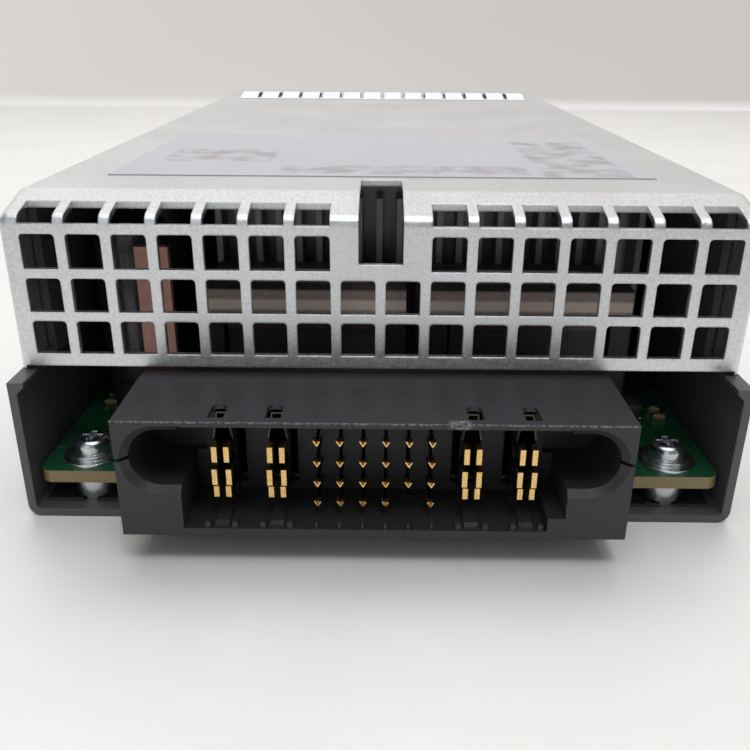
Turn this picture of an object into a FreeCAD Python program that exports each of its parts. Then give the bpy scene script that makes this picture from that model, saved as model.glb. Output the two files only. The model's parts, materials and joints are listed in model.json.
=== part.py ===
"""Hot swap server power supply, built as a parametric FreeCAD document.

Frame: +Z up, +Y from the output connector towards the fan, origin on the base
plane under the middle of the tray's connector end. Millimetres throughout.
Every size that can be set by itself is a row of the spreadsheet; everything
that fits, seats or lines up is worked out from those rows.
"""
import FreeCAD
import Part
import Sketcher

import math
import os
import re

Vector = FreeCAD.Vector

SIZES = {
    # case
    "case_width": 86.0,
    "case_height": 38.2,
    "tray_length": 172.0,
    "tray_sheet": 1.0,
    "cover_sheet": 0.8,
    "seam_level": 17.9,
    "seam_gap": 0.1,
    "tray_bend": 1.6,
    "cover_bend": 1.3,
    "wall_headroom": 0.3,
    # rear grille
    "grille_setback": 4.1,
    "grille_bottom": 18.4,
    "hole_pitch": 5.15,
    "hole_width": 3.96,
    "hole_tall": 4.05,
    "hole_side_margin": 2.3,
    "hole_corner": 0.45,
    "grille_border": 1.55,
    "face_drop": 1.9,
    "ramp_length": 6.7,
    "top_hole_reach": 3.6,
    "key_slot_width": 5.05,
    "key_slot_reach": 13.9,
    "key_slot_sill": 0.8,
    # main board
    "board_side_gap": 0.5,
    "board_rear": 1.0,
    "board_length": 138.0,
    "board_thickness": 1.6,
    "board_corner": 1.6,
    "standoff_tall": 3.2,
    "standoff_radius": 2.8,
    "standoff_shank": 2.0,
    "screw_shift": 1.275,
    "screw_inset_rear": 4.0,
    "screw_inset_front": 6.0,
    "mid_screw_step": 52.5,
    "screw_radius": 1.45,
    "thread_gap": 0.05,
    "washer_radius": 3.6,
    "washer_thickness": 0.5,
    "lock_radius": 2.7,
    "lock_thickness": 0.5,
    "head_radius": 2.15,
    "head_tall": 1.8,
    "recess_width": 0.8,
    "liner_thickness": 0.3,
    "liner_margin": 0.8,
    "liner_setback": 1.0,
    # output connector
    "plug_shift": -0.5,
    "plug_width": 55.7,
    "plug_front": 9.3,
    "plug_bottom": 3.7,
    "plug_tall": 14.0,
    "plug_depth": 17.3,
    "cavity_half": 21.0,
    "cavity_bottom": 0.9,
    "cavity_top": 0.6,
    "cavity_recess": 9.0,
    "slit_depth": 2.1,
    "guide_reach": 26.5,
    "guide_tall": 6.7,
    "guide_level": 9.35,
    "guide_depth": 10.0,
    "guide_rim": 0.8,
    "key_step_wide": 1.9,
    "key_step_tall": 1.7,
    "floor_tooth": 0.7,
    "floor_ramp": 0.4,
    "ramp_setback": 0.6,
    "ramp_reach": 4.6,
    "ramp_width": 1.6,
    "power_inner": 10.8,
    "power_step": 6.1,
    "power_slot": 3.4,
    "power_slot_depth": 15.3,
    "vent_width": 1.7,
    "vent_reach": 4.6,
    "vent_setback": 1.2,
    "signal_pitch": 2.54,
    "signal_columns": 6,
    "signal_rows": 4,
    "signal_low": 2.45,
    "signal_setback": 2.6,
    "short_pin_step": 1.6,
    "prong_length": 0.7,
    "prong_sheet": 0.16,
    "fork_reach": 0.5,
    "pin_width": 0.4,
    "tail_step": 1.9,
    "blade_sheet": 0.2,
    "blade_half": 1.05,
    "beam_tip": 0.6,
    "beam_gap": 0.5,
    "beam_flare": 0.12,
    "low_beam": 3.65,
    "low_beam_tall": 1.35,
    "mid_beam": 5.15,
    "mid_beam_tall": 1.95,
    "high_beam": 8.0,
    "high_beam_tall": 1.9,
    "cheek_tall": 10.1,
    "beam_setback": 2.2,
    "beam_length": 3.4,
    # fan
    "fan_air": 0.2,
    "fan_side_gap": 1.5,
    "fan_depth": 28.0,
    "fan_wall": 1.1,
    "fan_tip_gap": 0.6,
    "fan_hub": 9.5,
    "fan_hole_inset": 2.5,
    "fan_flange": 3.5,
    "fan_blades": 7,
    "fan_web": 2.6,
    "shaft_radius": 1.5,
    "bearing_radius": 4.0,
    "bearing_wide": 2.5,
    "running_gap": 0.06,
    "guard_wire": 0.6,
    "guard_step": 4.1,
    # front panel and what it carries
    "panel_sheet": 1.0,
    "panel_gap": 0.2,
    "panel_flange": 9.0,
    "inlet_fan_gap": 5.5,
    "inlet_latch_gap": 8.1,
    "inlet_drop": 1.0,
    "inlet_tall": 19.8,
    "inlet_depth": 20.0,
    "inlet_flange": 1.8,
    "inlet_flange_edge": 2.0,
    "inlet_wall": 1.6,
    "inlet_recess": 15.5,
    "inlet_corner": 3.2,
    "blade_pin_wide": 4.0,
    "blade_pin_thick": 2.0,
    "pin_side_gap": 4.0,
    "earth_pin_rise": 2.0,
    "live_pin_drop": 2.0,
    "tab_wide": 6.3,
    "tab_thick": 0.8,
    "tab_length": 7.0,
    # pull handle
    "bail_side_gap": 0.4,
    "bail_level": 8.5,
    "bail_standoff": 3.2,
    "bail_arm": 2.0,
    "bail_thick": 4.4,
    "bail_top_gap": 1.7,
    "bail_bar": 4.2,
    "ear_sheet": 1.0,
    "ear_gap": 0.15,
    "pivot_radius": 1.0,
    "pivot_gap": 0.05,
    "rivet_head": 1.8,
    # release latch
    "latch_pivot_inset": 3.9,
    "latch_reach": 26.0,
    "latch_bottom": 12.0,
    "latch_tall": 14.0,
    "latch_sheet": 2.0,
    "latch_air": 1.5,
    "latch_barrel": 2.4,
    "latch_tab_out": 11.0,
    "hook_tall": 4.2,
    "hook_out": 1.4,
    "hook_length": 9.5,
    "hook_back": 5.5,
    "latch_swing": 6.5,
    "bracket_sheet": 0.8,
    "bracket_reach": 5.0,
    "spring_wire": 0.5,
    "spring_radius": 1.9,
    "spring_turns": 4,
    # lamp
    "lamp_shift": 1.05,
    "lamp_radius": 1.5,
    "lamp_length": 6.0,
    "lamp_proud": 0.8,
    # cover trim
    "label_length": 42.0,
    "label_width": 70.0,
    "label_start": 20.0,
    "label_thickness": 0.12,
    "finger_count": 14,
    "finger_width": 4.4,
    "finger_step": 5.4,
    "finger_length": 13.0,
    "finger_rise": 1.1,
    "finger_sheet": 0.15,
    "finger_from_front": 31.0,
    "case_screw_drop": 6.6,
    "case_screw_inset": 5.0,
    "case_screw_step": 96.0,
    "case_screw_radius": 1.25,
    # power stage
    "part_gap": 0.3,
    "busbar_x": -29.8,
    "busbar_wide": 4.4,
    "busbar_thick": 1.2,
    "busbar_tall": 23.7,
    "busbar_foot": 5.0,
    "busbar_y": 17.5,
    "choke_width": 27.0,
    "choke_step": 30.0,
    "choke_shift": -10.1,
    "choke_y": 17.5,
    "choke_deep": 13.5,
    "choke_tall": 18.2,
    "choke_band": 4.0,
    "choke_core_tall": 12.5,
    "sink_fin": 5.0,
    "sink_base": 2.0,
    "sink_left": -23.95,
    "sink_wall_gap": 3.1,
    "tall_headroom": 2.6,
    "sink_pitch": 2.9,
    "sink_fin_sheet": 0.9,
    "device_wide": 10.2,
    "device_tall": 15.6,
    "device_thick": 4.5,
    "device_level": 16.0,
    "out_can_gap": 1.5,
    "out_can_radius": 5.0,
    "out_can_tall": 25.0,
    "out_can_y": 25.0,
    "out_can_step": 11.5,
    "out_can_count": 3,
    "trafo_gap": 0.4,
    "trafo_y": 62.0,
    "trafo_wide": 34.0,
    "trafo_long": 28.0,
    "trafo_lift": 1.0,
    "trafo_leg": 7.0,
    "trafo_post": 5.5,
    "trafo_yoke": 5.5,
    "winding_wall": 6.5,
    "bobbin_sheet": 1.0,
    "card_gap": 1.6,
    "card_y": 48.0,
    "card_long": 30.0,
    "card_tall": 24.0,
    "card_thick": 1.6,
    "chip_size": 7.0,
    "chip_thick": 1.4,
    "bulk_gap": 0.6,
    "bulk_y": 92.0,
    "bulk_step": 24.0,
    "bulk_radius": 11.0,
    "bulk_headroom": 1.7,
    "can_lift": 0.4,
    "bulk_count": 2,
    "boost_gap": 3.5,
    "boost_y": 94.0,
    "boost_radius": 11.5,
    "boost_bore": 6.0,
    "boost_wide": 11.0,
    "boost_wire": 1.0,
    "boost_turns": 22,
    "boost_lift": 2.6,
    "prim_x": -24.0,
    "prim_y": 62.0,
    "prim_long": 66.0,
    "prim_wall_gap": 5.1,
    "prim_pitch": 4.0,
    "power_pack_wide": 16.0,
    "power_pack_tall": 20.0,
    "power_pack_thick": 4.6,
    "power_pack_y": 80.0,
    "bridge_y": 118.0,
    "bridge_wide": 20.0,
    "bridge_tall": 18.0,
    "emi_y": 117.0,
    "emi_radius": 10.0,
    "emi_bore": 5.0,
    "emi_tall": 9.0,
    "emi_wire": 0.8,
    "emi_seat": 1.0,
    "turn_gap": 0.14,
    "film_gap": 1.0,
    "film_y": 133.0,
    "film_wide": 17.0,
    "film_deep": 7.0,
    "film_tall": 14.0,
    "relay_gap": 0.5,
    "relay_y": 113.0,
    "relay_wide": 8.0,
    "relay_long": 17.0,
    "relay_tall": 15.0,
    "wire_step": 2.1,
    "wire_screw_gap": 4.0,
    "fuse_wire_gap": 2.2,
    "fuse_y": 132.0,
    "fuse_long": 20.0,
    "fuse_radius": 2.5,
    "clip_sheet": 0.4,
    "lead_radius": 1.0,
    "baffle_gap": 2.0,
    "fan_plug_size": 5.0,
    "fan_plug_gap": 0.8,
    "clamp_head": 1.6,
    "baffle_thick": 0.5,
}

DOC = FreeCAD.newDocument("PowerSupply")
SHEET = DOC.addObject("Spreadsheet::Sheet", "Sizes")
NODES = []


# ---------------------------------------------------------------- helpers
def fill_sheet():
    """Write every size as plain text with its alias."""
    for row, (alias, number) in enumerate(SIZES.items(), start=1):
        SHEET.set("A%d" % row, alias.replace("_", " "))
        SHEET.set("B%d" % row, str(number))
        SHEET.setAlias("B%d" % row, alias)
    DOC.recompute()


def val(alias):
    """Value of one sheet cell."""
    return float(SHEET.get(alias))


def bind(obj, prop, text):
    """Bind a property to an expression written with bare sheet aliases."""
    full = re.sub(r"[a-z][a-z0-9_]*",
                  lambda hit: "Sizes." + hit.group(0) if hit.group(0) in SIZES else hit.group(0),
                  text)
    obj.setExpression(prop, full)


def place(obj, x="0", y="0", z="0"):
    """Bind the three components of an object's position."""
    for axis, text in (("x", x), ("y", y), ("z", z)):
        bind(obj, "Placement.Base." + axis, text)
    return obj


def node(label, obj):
    """Register an object as a sub-part under its node name."""
    obj.Label = label
    NODES.append(obj)
    return obj


def box(x, y, z, size):
    """Box from its low corner and its three lengths, all expressions."""
    solid = DOC.addObject("Part::Box", "Block")
    for prop, text in zip(("Length", "Width", "Height"), size):
        bind(solid, prop, text)
    return place(solid, x, y, z)


TURNS = {
    "x": FreeCAD.Rotation(Vector(0, 1, 0), 90),
    "y": FreeCAD.Rotation(Vector(1, 0, 0), -90),
    "z": FreeCAD.Rotation(),
}


def rod(axis, x, y, z, radius, length):
    """Cylinder that starts at a point and runs along +axis."""
    solid = DOC.addObject("Part::Cylinder", "Rod")
    solid.Placement = FreeCAD.Placement(Vector(), TURNS[axis])
    bind(solid, "Radius", radius)
    bind(solid, "Height", length)
    return place(solid, x, y, z)


def torus(axis, x, y, z, ring, wire):
    """Ring of round wire about an axis."""
    solid = DOC.addObject("Part::Torus", "Ring")
    solid.Placement = FreeCAD.Placement(Vector(), TURNS[axis])
    bind(solid, "Radius1", ring)
    bind(solid, "Radius2", wire)
    return place(solid, x, y, z)


def fuse(parts):
    """Union of several objects."""
    joined = DOC.addObject("Part::MultiFuse", "Union")
    joined.Shapes = parts
    return joined


def cut(base, tools):
    """Base less one or more tools."""
    tool = tools[0] if len(tools) == 1 else fuse(tools)
    result = DOC.addObject("Part::Cut", "Difference")
    result.Base = base
    result.Tool = tool
    return result


def group(parts):
    """Several separate solids kept as one sub-part."""
    bundle = DOC.addObject("Part::Compound", "Set")
    bundle.Links = parts
    return bundle


def new_body(label):
    """PartDesign body registered as a node."""
    return node(label, DOC.addObject("PartDesign::Body", "Body"))


def sketch(body, role, level="0"):
    """Sketch on one of the body's own origin planes, moved along +axis by level."""
    plane = next(item for item in body.Origin.OriginFeatures if item.Role == role)
    drawing = body.newObject("Sketcher::SketchObject", "Sketch")
    drawing.AttachmentSupport = [(plane, "")]
    drawing.MapMode = "FlatFace"
    sign = "-" if role == "XZ_Plane" else ""
    bind(drawing, "AttachmentOffset.Base.z", "%s(%s)" % (sign, level))
    return drawing


def polygon(drawing, corners):
    """Closed outline whose corners are tied to the origin by expressions."""
    first = drawing.GeometryCount
    count = len(corners)
    guess = [Vector(10 * math.cos(2 * math.pi * i / count), 10 * math.sin(2 * math.pi * i / count), 0)
             for i in range(count)]
    for i in range(count):
        drawing.addGeometry(Part.LineSegment(guess[i], guess[(i + 1) % count]), False)
    for i in range(count):
        drawing.addConstraint(
            Sketcher.Constraint("Coincident", first + i, 2, first + (i + 1) % count, 1))
    for i, (across, up) in enumerate(corners):
        for kind, text in (("DistanceX", across), ("DistanceY", up)):
            index = drawing.addConstraint(Sketcher.Constraint(kind, -1, 1, first + i, 1, 1.0))
            bind(drawing, "Constraints[%d]" % index, text)
    return drawing


def rectangle(drawing, across, up, wide, tall):
    """Rectangle from its low corner."""
    right = "(%s) + (%s)" % (across, wide)
    top = "(%s) + (%s)" % (up, tall)
    return polygon(drawing, [(across, up), (right, up), (right, top), (across, top)])


def arched(drawing, across, up, wide, tall, corner):
    """Rectangle from its low corner whose two upper corners are quarter circles."""
    left, right, top = across, "(%s) + (%s)" % (across, wide), "(%s) + (%s)" % (up, tall)
    spring = "%s - %s" % (top, corner)
    points = [(left, up), (right, up), (right, spring), ("%s - %s" % (right, corner), top),
              ("%s + %s" % (left, corner), top), (left, spring)]
    guess = [Vector(0, 0, 0), Vector(4, 0, 0), Vector(4, 3, 0), Vector(3, 4, 0), Vector(1, 4, 0),
             Vector(0, 3, 0)]
    bends = {2: (Vector(3, 3, 0), 0.0), 4: (Vector(1, 3, 0), math.pi / 2)}
    first = drawing.GeometryCount
    for i in range(6):
        if i in bends:
            centre, start = bends[i]
            ring = Part.Circle(centre, Vector(0, 0, 1), 1.0)
            drawing.addGeometry(Part.ArcOfCircle(ring, start, start + math.pi / 2), False)
        else:
            drawing.addGeometry(Part.LineSegment(guess[i], guess[(i + 1) % 6]), False)
    for i in range(6):
        drawing.addConstraint(Sketcher.Constraint("Coincident", first + i, 2, first + (i + 1) % 6, 1))
    ties = [(kind, first + i, 1, text) for i, point in enumerate(points)
            for kind, text in zip(("DistanceX", "DistanceY"), point)]
    ties += [("DistanceX", first + i, 3, points[3 if i == 2 else 4][0]) for i in bends]
    for kind, index, end, text in ties:
        tie = drawing.addConstraint(Sketcher.Constraint(kind, -1, 1, index, end, 1.0))
        bind(drawing, "Constraints[%d]" % tie, text)
    return drawing


def circle(drawing, across, up, radius):
    """Circle with its centre tied to the origin."""
    index = drawing.addGeometry(Part.Circle(Vector(1, 1, 0), Vector(0, 0, 1), 1.0), False)
    for kind, text in (("DistanceX", across), ("DistanceY", up)):
        tie = drawing.addConstraint(Sketcher.Constraint(kind, -1, 1, index, 3, 1.0))
        bind(drawing, "Constraints[%d]" % tie, text)
    tie = drawing.addConstraint(Sketcher.Constraint("Radius", index, 1.0))
    bind(drawing, "Constraints[%d]" % tie, radius)
    return drawing


def sketch_role(drawing):
    """Role of the origin plane that carries a sketch."""
    return drawing.AttachmentSupport[0][0].Role


def pad(body, drawing, length, forward=True):
    """Pad along +axis of the sketch's plane, or -axis."""
    feature = body.newObject("PartDesign::Pad", "Pad")
    feature.Profile = drawing
    bind(feature, "Length", length)
    feature.Reversed = (sketch_role(drawing) == "XZ_Plane") == forward
    drawing.Visibility = False
    DOC.recompute()
    return feature


def pocket(body, drawing, length, forward=True):
    """Pocket along +axis of the sketch's plane, or -axis; it must remove material."""
    before = body.Shape.Volume
    feature = body.newObject("PartDesign::Pocket", "Pocket")
    feature.Profile = drawing
    bind(feature, "Length", length)
    feature.Reversed = (sketch_role(drawing) == "XZ_Plane") != forward
    DOC.recompute()
    if body.Shape.Volume >= before - 1e-6:
        raise RuntimeError("pocket in %s removes nothing" % body.Label)
    return feature


def origin_axis(body, role):
    """Axis or plane of a body's origin."""
    return next(item for item in body.Origin.OriginFeatures if item.Role == role)


def pattern(body, features, role, span, count):
    """Linear pattern along an origin axis."""
    feature = body.newObject("PartDesign::LinearPattern", "Pattern")
    feature.Originals = features
    feature.Direction = (origin_axis(body, role), [""])
    bind(feature, "Length", span)
    bind(feature, "Occurrences", count)
    body.Tip = feature
    DOC.recompute()
    return feature


def edges_where(shape, test):
    """Names of the edges whose middle point passes a test."""
    names = []
    for number, edge in enumerate(shape.Edges, start=1):
        middle = edge.valueAt(0.5 * (edge.FirstParameter + edge.LastParameter))
        if test(middle, edge):
            names.append("Edge%d" % number)
    return names


def dress(body, kind, test, size):
    """Fillet or chamfer the edges of the body's tip that pass a test."""
    base = body.Tip
    names = edges_where(body.Shape, test)
    feature = body.newObject("PartDesign::" + kind, kind)
    feature.Base = (base, names)
    bind(feature, "Radius" if kind == "Fillet" else "Size", size)
    DOC.recompute()
    return feature


def near(value, target, slack=0.01):
    """True where two numbers agree."""
    return abs(value - target) < slack


# expressions used by several pieces
BOARD_BOTTOM = "tray_sheet + standoff_tall"
BOARD_TOP = "tray_sheet + standoff_tall + board_thickness"
COVER_INNER = "case_height - cover_sheet"
WALL_TOP = "case_height - cover_sheet - wall_headroom"
UPPER_OUTER = "case_width / 2 - cover_sheet - seam_gap"
UPPER_INNER = "case_width / 2 - cover_sheet - seam_gap - tray_sheet"
LOWER_INNER = "case_width / 2 - tray_sheet"
PANEL_BACK = "tray_length - panel_sheet"
BOARD_HALF = "(%s - board_side_gap)" % LOWER_INNER
SCREW_X = "((%s + plug_width / 2) / 2 + screw_shift)" % BOARD_HALF
SCREW_LEVEL = "(%s - case_screw_drop)" % WALL_TOP
FAN_SIZE = "(case_height - cover_sheet - tray_sheet - 2 * fan_air)"
FAN_X = "(fan_side_gap + %s / 2 - (%s))" % (FAN_SIZE, UPPER_INNER)
FAN_BORE = "(%s / 2 - fan_wall)" % FAN_SIZE
FAN_STEP = "(%s / 2 - fan_hole_inset)" % FAN_SIZE
FAN_LEVEL = "(tray_sheet + case_height - cover_sheet) / 2"
FAN_BACK = "tray_length - panel_sheet - fan_depth"
PLUG_LEFT = "plug_shift - plug_width / 2"
PLUG_TOP = "plug_bottom + plug_tall"
BAIL_Y = "tray_length + bail_standoff"
LATCH_Y = "tray_length - latch_reach"
LATCH_X = "(%s - latch_pivot_inset)" % UPPER_INNER
LATCH_OUTER = "(%s - latch_air)" % UPPER_INNER
WEB_X = "(%s - bracket_reach)" % LATCH_X
LAMP_LEVEL = "((latch_bottom + latch_tall + %s) / 2 - lamp_shift)" % WALL_TOP
INLET_LEFT = "(%s + %s / 2 + inlet_fan_gap)" % (FAN_X, FAN_SIZE)
INLET_WIDE = "(%s - inlet_latch_gap - %s)" % (LATCH_X, INLET_LEFT)
INLET_X = "(%s + %s / 2)" % (INLET_LEFT, INLET_WIDE)
INLET_LEVEL = "(%s - inlet_drop)" % FAN_LEVEL
PIN_STEP = "(%s / 2 - inlet_wall - pin_side_gap - blade_pin_thick / 2)" % INLET_WIDE
BAIL_WIDE = "(%s + 2 * (inlet_flange_edge + bail_side_gap + bail_arm))" % INLET_WIDE
BAIL_TOP = "(%s + inlet_tall / 2 + inlet_flange_edge + bail_top_gap + bail_bar)" % INLET_LEVEL
TALL = "(%s - (%s) - tall_headroom)" % (COVER_INNER, BOARD_TOP)
TRAFO_TALL = "(%s - trafo_lift)" % TALL
BULK_X = "(%s - bulk_gap - bulk_radius)" % UPPER_INNER
BULK_TALL = "(%s - (%s) - can_lift - bulk_headroom)" % (COVER_INNER, BOARD_TOP)
BOOST_X = "(%s - bulk_radius - boost_gap - boost_radius)" % BULK_X
RELAY_X = "(%s - bulk_radius - relay_gap - relay_wide / 2)" % BULK_X
EMI_X = "((prim_x + power_pack_thick + clamp_head + %s - relay_wide / 2) / 2)" % RELAY_X
PRIM_FIN = "(%s + prim_x - sink_base - prim_wall_gap)" % UPPER_INNER
TRAFO_X = "(prim_x + power_pack_thick + trafo_gap + trafo_wide / 2)"
CARD_X = "(%s + trafo_wide / 2 + card_gap)" % TRAFO_X
CAN_X = "(out_can_gap + out_can_radius - (%s))" % UPPER_INNER
SINK_RIGHT = "(%s - sink_wall_gap)" % UPPER_INNER
WIRE_X = "(%s - wire_screw_gap - 2 * wire_step)" % SCREW_X
FUSE_X = "(%s - fuse_wire_gap - fuse_long)" % WIRE_X
FAN_PLUG_X = "(%s - fan_plug_gap - fan_plug_size)" % FUSE_X
FILM_X = "(%s - film_gap - film_wide / 2)" % FAN_PLUG_X
BAFFLE_X = "(%s + %s / 2 + baffle_gap)" % (FAN_X, FAN_SIZE)
COLUMNS = "(2 * floor((case_width / 2 - hole_side_margin + (hole_pitch - hole_width) / 2) / hole_pitch))"
SINK_Y = "(choke_y + choke_deep + part_gap + sink_fin)"


def screw_points():
    """Places of the six board screws as pairs of expressions."""
    rear = "board_rear + screw_inset_rear"
    front = "board_rear + board_length - screw_inset_front"
    return [(side, along) for along in (rear, rear + " + mid_screw_step", front)
            for side in ("-" + SCREW_X, SCREW_X)]


# ---------------------------------------------------------------- case
def chassis_tray():
    """Black steel tray: floor and two walls, stepped in above the seam."""
    body = new_body("chassis_tray")
    outer, upper = "case_width / 2", UPPER_OUTER
    lower_in, upper_in = LOWER_INNER, UPPER_INNER
    ledge = "seam_level - seam_gap"
    right = [(outer, "0"), (outer, ledge), (upper, ledge), (upper, WALL_TOP), (upper_in, WALL_TOP),
             (upper_in, ledge + " - 0.5"), (lower_in, ledge + " - 1.4"), (lower_in, "tray_sheet")]
    left = [("-(%s)" % across, up) for across, up in reversed(right)]
    pad(body, polygon(sketch(body, "XZ_Plane"), right + left), "tray_length")
    step_back = "grille_setback + ramp_length + part_gap"
    rear = rectangle(sketch(body, "XZ_Plane"), "-case_width", ledge, "2 * case_width", "case_height")
    pocket(body, rear, step_back)
    half, sheet, long = val("case_width") / 2, val("tray_sheet"), val("tray_length") / 2
    dress(body, "Fillet",
          lambda m, e: near(abs(m.x), half) and near(m.z, 0) and e.Length > long, "tray_bend")
    dress(body, "Fillet",
          lambda m, e: near(abs(m.x), half - sheet) and near(m.z, sheet) and e.Length > long,
          "tray_bend - tray_sheet")
    floor = sketch(body, "XY_Plane", "-1")
    for across, along in screw_points():
        circle(floor, across, along, "standoff_shank")
    pocket(body, floor, "tray_sheet + 1.5")
    holes = sketch(body, "YZ_Plane", "-case_width")
    for along in case_screw_places():
        circle(holes, along, SCREW_LEVEL, "case_screw_radius + thread_gap")
    pocket(body, holes, "2 * case_width")
    side = sketch(body, "YZ_Plane", "case_width / 2 - tray_sheet - 0.5")
    rectangle(side, LATCH_Y + " + hook_length - 0.5", "latch_bottom - 0.5",
              "hook_length + hook_back + 1", "hook_tall + 1")
    pocket(body, side, "tray_sheet + 1")
    return body


def case_screw_places():
    """Length positions of the side screws, front pair first."""
    front = "tray_length - case_screw_inset"
    return [front, front + " - case_screw_step"]


def top_cover():
    """Plated steel cover: top, side flanges and the pierced rear face."""
    body = new_body("top_cover")
    ramp_top = "grille_setback + ramp_length"
    face_top = "case_height - face_drop"
    outline = [("grille_setback", "seam_level"), ("grille_setback", face_top),
               (ramp_top, "case_height"), ("tray_length", "case_height"),
               ("tray_length", "seam_level")]
    side = polygon(sketch(body, "YZ_Plane", "-case_width / 2"), outline)
    pad(body, side, "case_width")
    half, high = val("case_width") / 2, val("case_height")
    front, low = val("tray_length"), val("seam_level")
    dress(body, "Fillet",
          lambda m, e: not near(m.y, front) and not near(m.z, low)
          and not (near(m.x, 0) and near(m.z, high)),
          "cover_bend")
    slope = "(face_drop / ramp_length)"
    stretch = "sqrt(1 + %s ^ 2)" % slope
    wall, below, ahead = "grille_setback + cover_sheet", "seam_level - 1", "tray_length + 1"
    hollow = polygon(sketch(body, "YZ_Plane", "-case_width / 2 + cover_sheet"), [
        (wall, below), (wall, "%s - cover_sheet * (%s - %s)" % (face_top, stretch, slope)),
        ("%s + cover_sheet * (%s - 1) / %s" % (ramp_top, stretch, slope), COVER_INNER),
        (ahead, COVER_INNER), (ahead, below)])
    pocket(body, hollow, "case_width - 2 * cover_sheet")
    inside = half - val("cover_sheet")
    dress(body, "Fillet", lambda m, e: near(abs(m.x), inside) and e.Length > front / 2
          and near(m.z, high - val("cover_sheet")), "cover_bend - cover_sheet")
    pierce_rear(body)
    trim = sketch(body, "XZ_Plane")
    reach = "case_width / 2 - cover_sheet"
    rectangle(trim, "-(%s)" % reach, "seam_level - 1", "2 * (%s)" % reach,
              "grille_bottom - seam_level + 1")
    pocket(body, trim, "grille_setback + cover_sheet + cover_bend")
    holes = sketch(body, "YZ_Plane", "-case_width")
    for along in case_screw_places():
        circle(holes, along, SCREW_LEVEL, "case_screw_radius + thread_gap")
    pocket(body, holes, "2 * case_width")
    dress(body, "Chamfer",
          lambda m, e: near(abs(m.x), half) and e.Length < 12 and near_screw(m), "cover_sheet * 0.8")
    return body


def near_screw(middle):
    """True for a point on the rim of a side screw hole."""
    reach = val("case_screw_radius") + 1
    front = val("tray_length") - val("case_screw_inset")
    places = (front, front - val("case_screw_step"))
    level = val("case_height") - val("cover_sheet") - val("wall_headroom") - val("case_screw_drop")
    return (abs(middle.z - level) < reach
            and min(abs(middle.y - place_y) for place_y in places) < reach)


def pierce_rear(body):
    """Square vent holes in four rows and the key slot."""
    low = "grille_bottom + grille_border"
    left = "-(%s - 1) / 2 * hole_pitch - hole_width / 2" % COLUMNS
    deep = "grille_setback + cover_sheet + 1"
    half_span = "(%s / 2 - 2) * hole_pitch" % COLUMNS
    half_count = "%s / 2 - 1" % COLUMNS
    first = val("grille_bottom") + val("grille_border")
    rows = int((val("case_height") - val("face_drop") - first) / val("hole_pitch"))

    column = sketch(body, "XZ_Plane")
    for row in range(rows - 1):
        arched(column, left, low + " + %d * hole_pitch" % row, "hole_width", "hole_tall", "hole_corner")
    hole = pocket(body, column, deep)
    pattern(body, [hole], "X_Axis", "(%s - 1) * hole_pitch" % COLUMNS, COLUMNS)

    for start in (left, "1.5 * hole_pitch - hole_width / 2"):
        upper = arched(sketch(body, "XZ_Plane"), start, low + " + %d * hole_pitch" % (rows - 1),
                       "hole_width", "hole_tall", "hole_corner")
        hole = pocket(body, upper, deep)
        pattern(body, [hole], "X_Axis", half_span, half_count)
        roof = rectangle(sketch(body, "XY_Plane", low + " + %d * hole_pitch" % rows), start, "-1",
                         "hole_width", "grille_setback + top_hole_reach + 1")
        hole = pocket(body, roof, "case_height")
        pattern(body, [hole], "X_Axis", half_span, half_count)

    slot = sketch(body, "XY_Plane", low + " + %d * hole_pitch + key_slot_sill" % (rows - 1))
    rectangle(slot, "-key_slot_width / 2", "-1", "key_slot_width",
              "grille_setback + key_slot_reach + 1")
    pocket(body, slot, "case_height")


def insulating_liner():
    """Thin plastic sheet on the floor under the board."""
    body = new_body("insulating_liner")
    flat = sketch(body, "XY_Plane", "tray_sheet")
    half = "(%s - liner_margin)" % LOWER_INNER
    rectangle(flat, "-" + half, "board_rear + liner_setback", "2 * " + half,
              "board_length - 2 * liner_setback")
    pad(body, flat, "liner_thickness")
    holes = sketch(body, "XY_Plane", "tray_sheet - 0.5")
    for across, along in screw_points():
        circle(holes, across, along, "standoff_radius + part_gap")
    pocket(body, holes, "liner_thickness + 1")
    return body


def case_screws():
    """Countersunk screws through the cover flanges into walls and panel."""
    parts = []
    for along in case_screw_places():
        for sign in ("", "-"):
            turn = 90 if sign else -90
            length = "cover_sheet + seam_gap + tray_sheet + panel_gap + panel_sheet - 0.05"
            head = DOC.addObject("Part::Cone", "Head")
            head.Placement = FreeCAD.Placement(Vector(), FreeCAD.Rotation(Vector(0, 1, 0), turn))
            bind(head, "Radius1", "case_screw_radius + thread_gap + cover_sheet * 0.8 - 0.06")
            bind(head, "Radius2", "case_screw_radius - 0.1")
            bind(head, "Height", "cover_sheet * 0.8")
            edge = "%s(case_width / 2 - 0.02)" % sign
            place(head, edge, along, SCREW_LEVEL)
            shank = DOC.addObject("Part::Cylinder", "Shank")
            shank.Placement = FreeCAD.Placement(Vector(), FreeCAD.Rotation(Vector(0, 1, 0), turn))
            bind(shank, "Radius", "case_screw_radius - 0.1")
            bind(shank, "Height", length)
            place(shank, edge, along, SCREW_LEVEL)
            recess = rod("x", "%s(case_width / 2) - %s" % (sign, "0.4"), along,
                         SCREW_LEVEL, "case_screw_radius * 0.6", "0.8")
            parts.append(cut(fuse([head, shank]), [recess]))
    return node("case_screws", group(parts))


def rating_label():
    """Blank self-adhesive label on top of the cover."""
    body = new_body("rating_label")
    flat = sketch(body, "XY_Plane", "case_height")
    rectangle(flat, "-label_width / 2", "label_start", "label_width", "label_length")
    pad(body, flat, "label_thickness")
    return body


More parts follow.
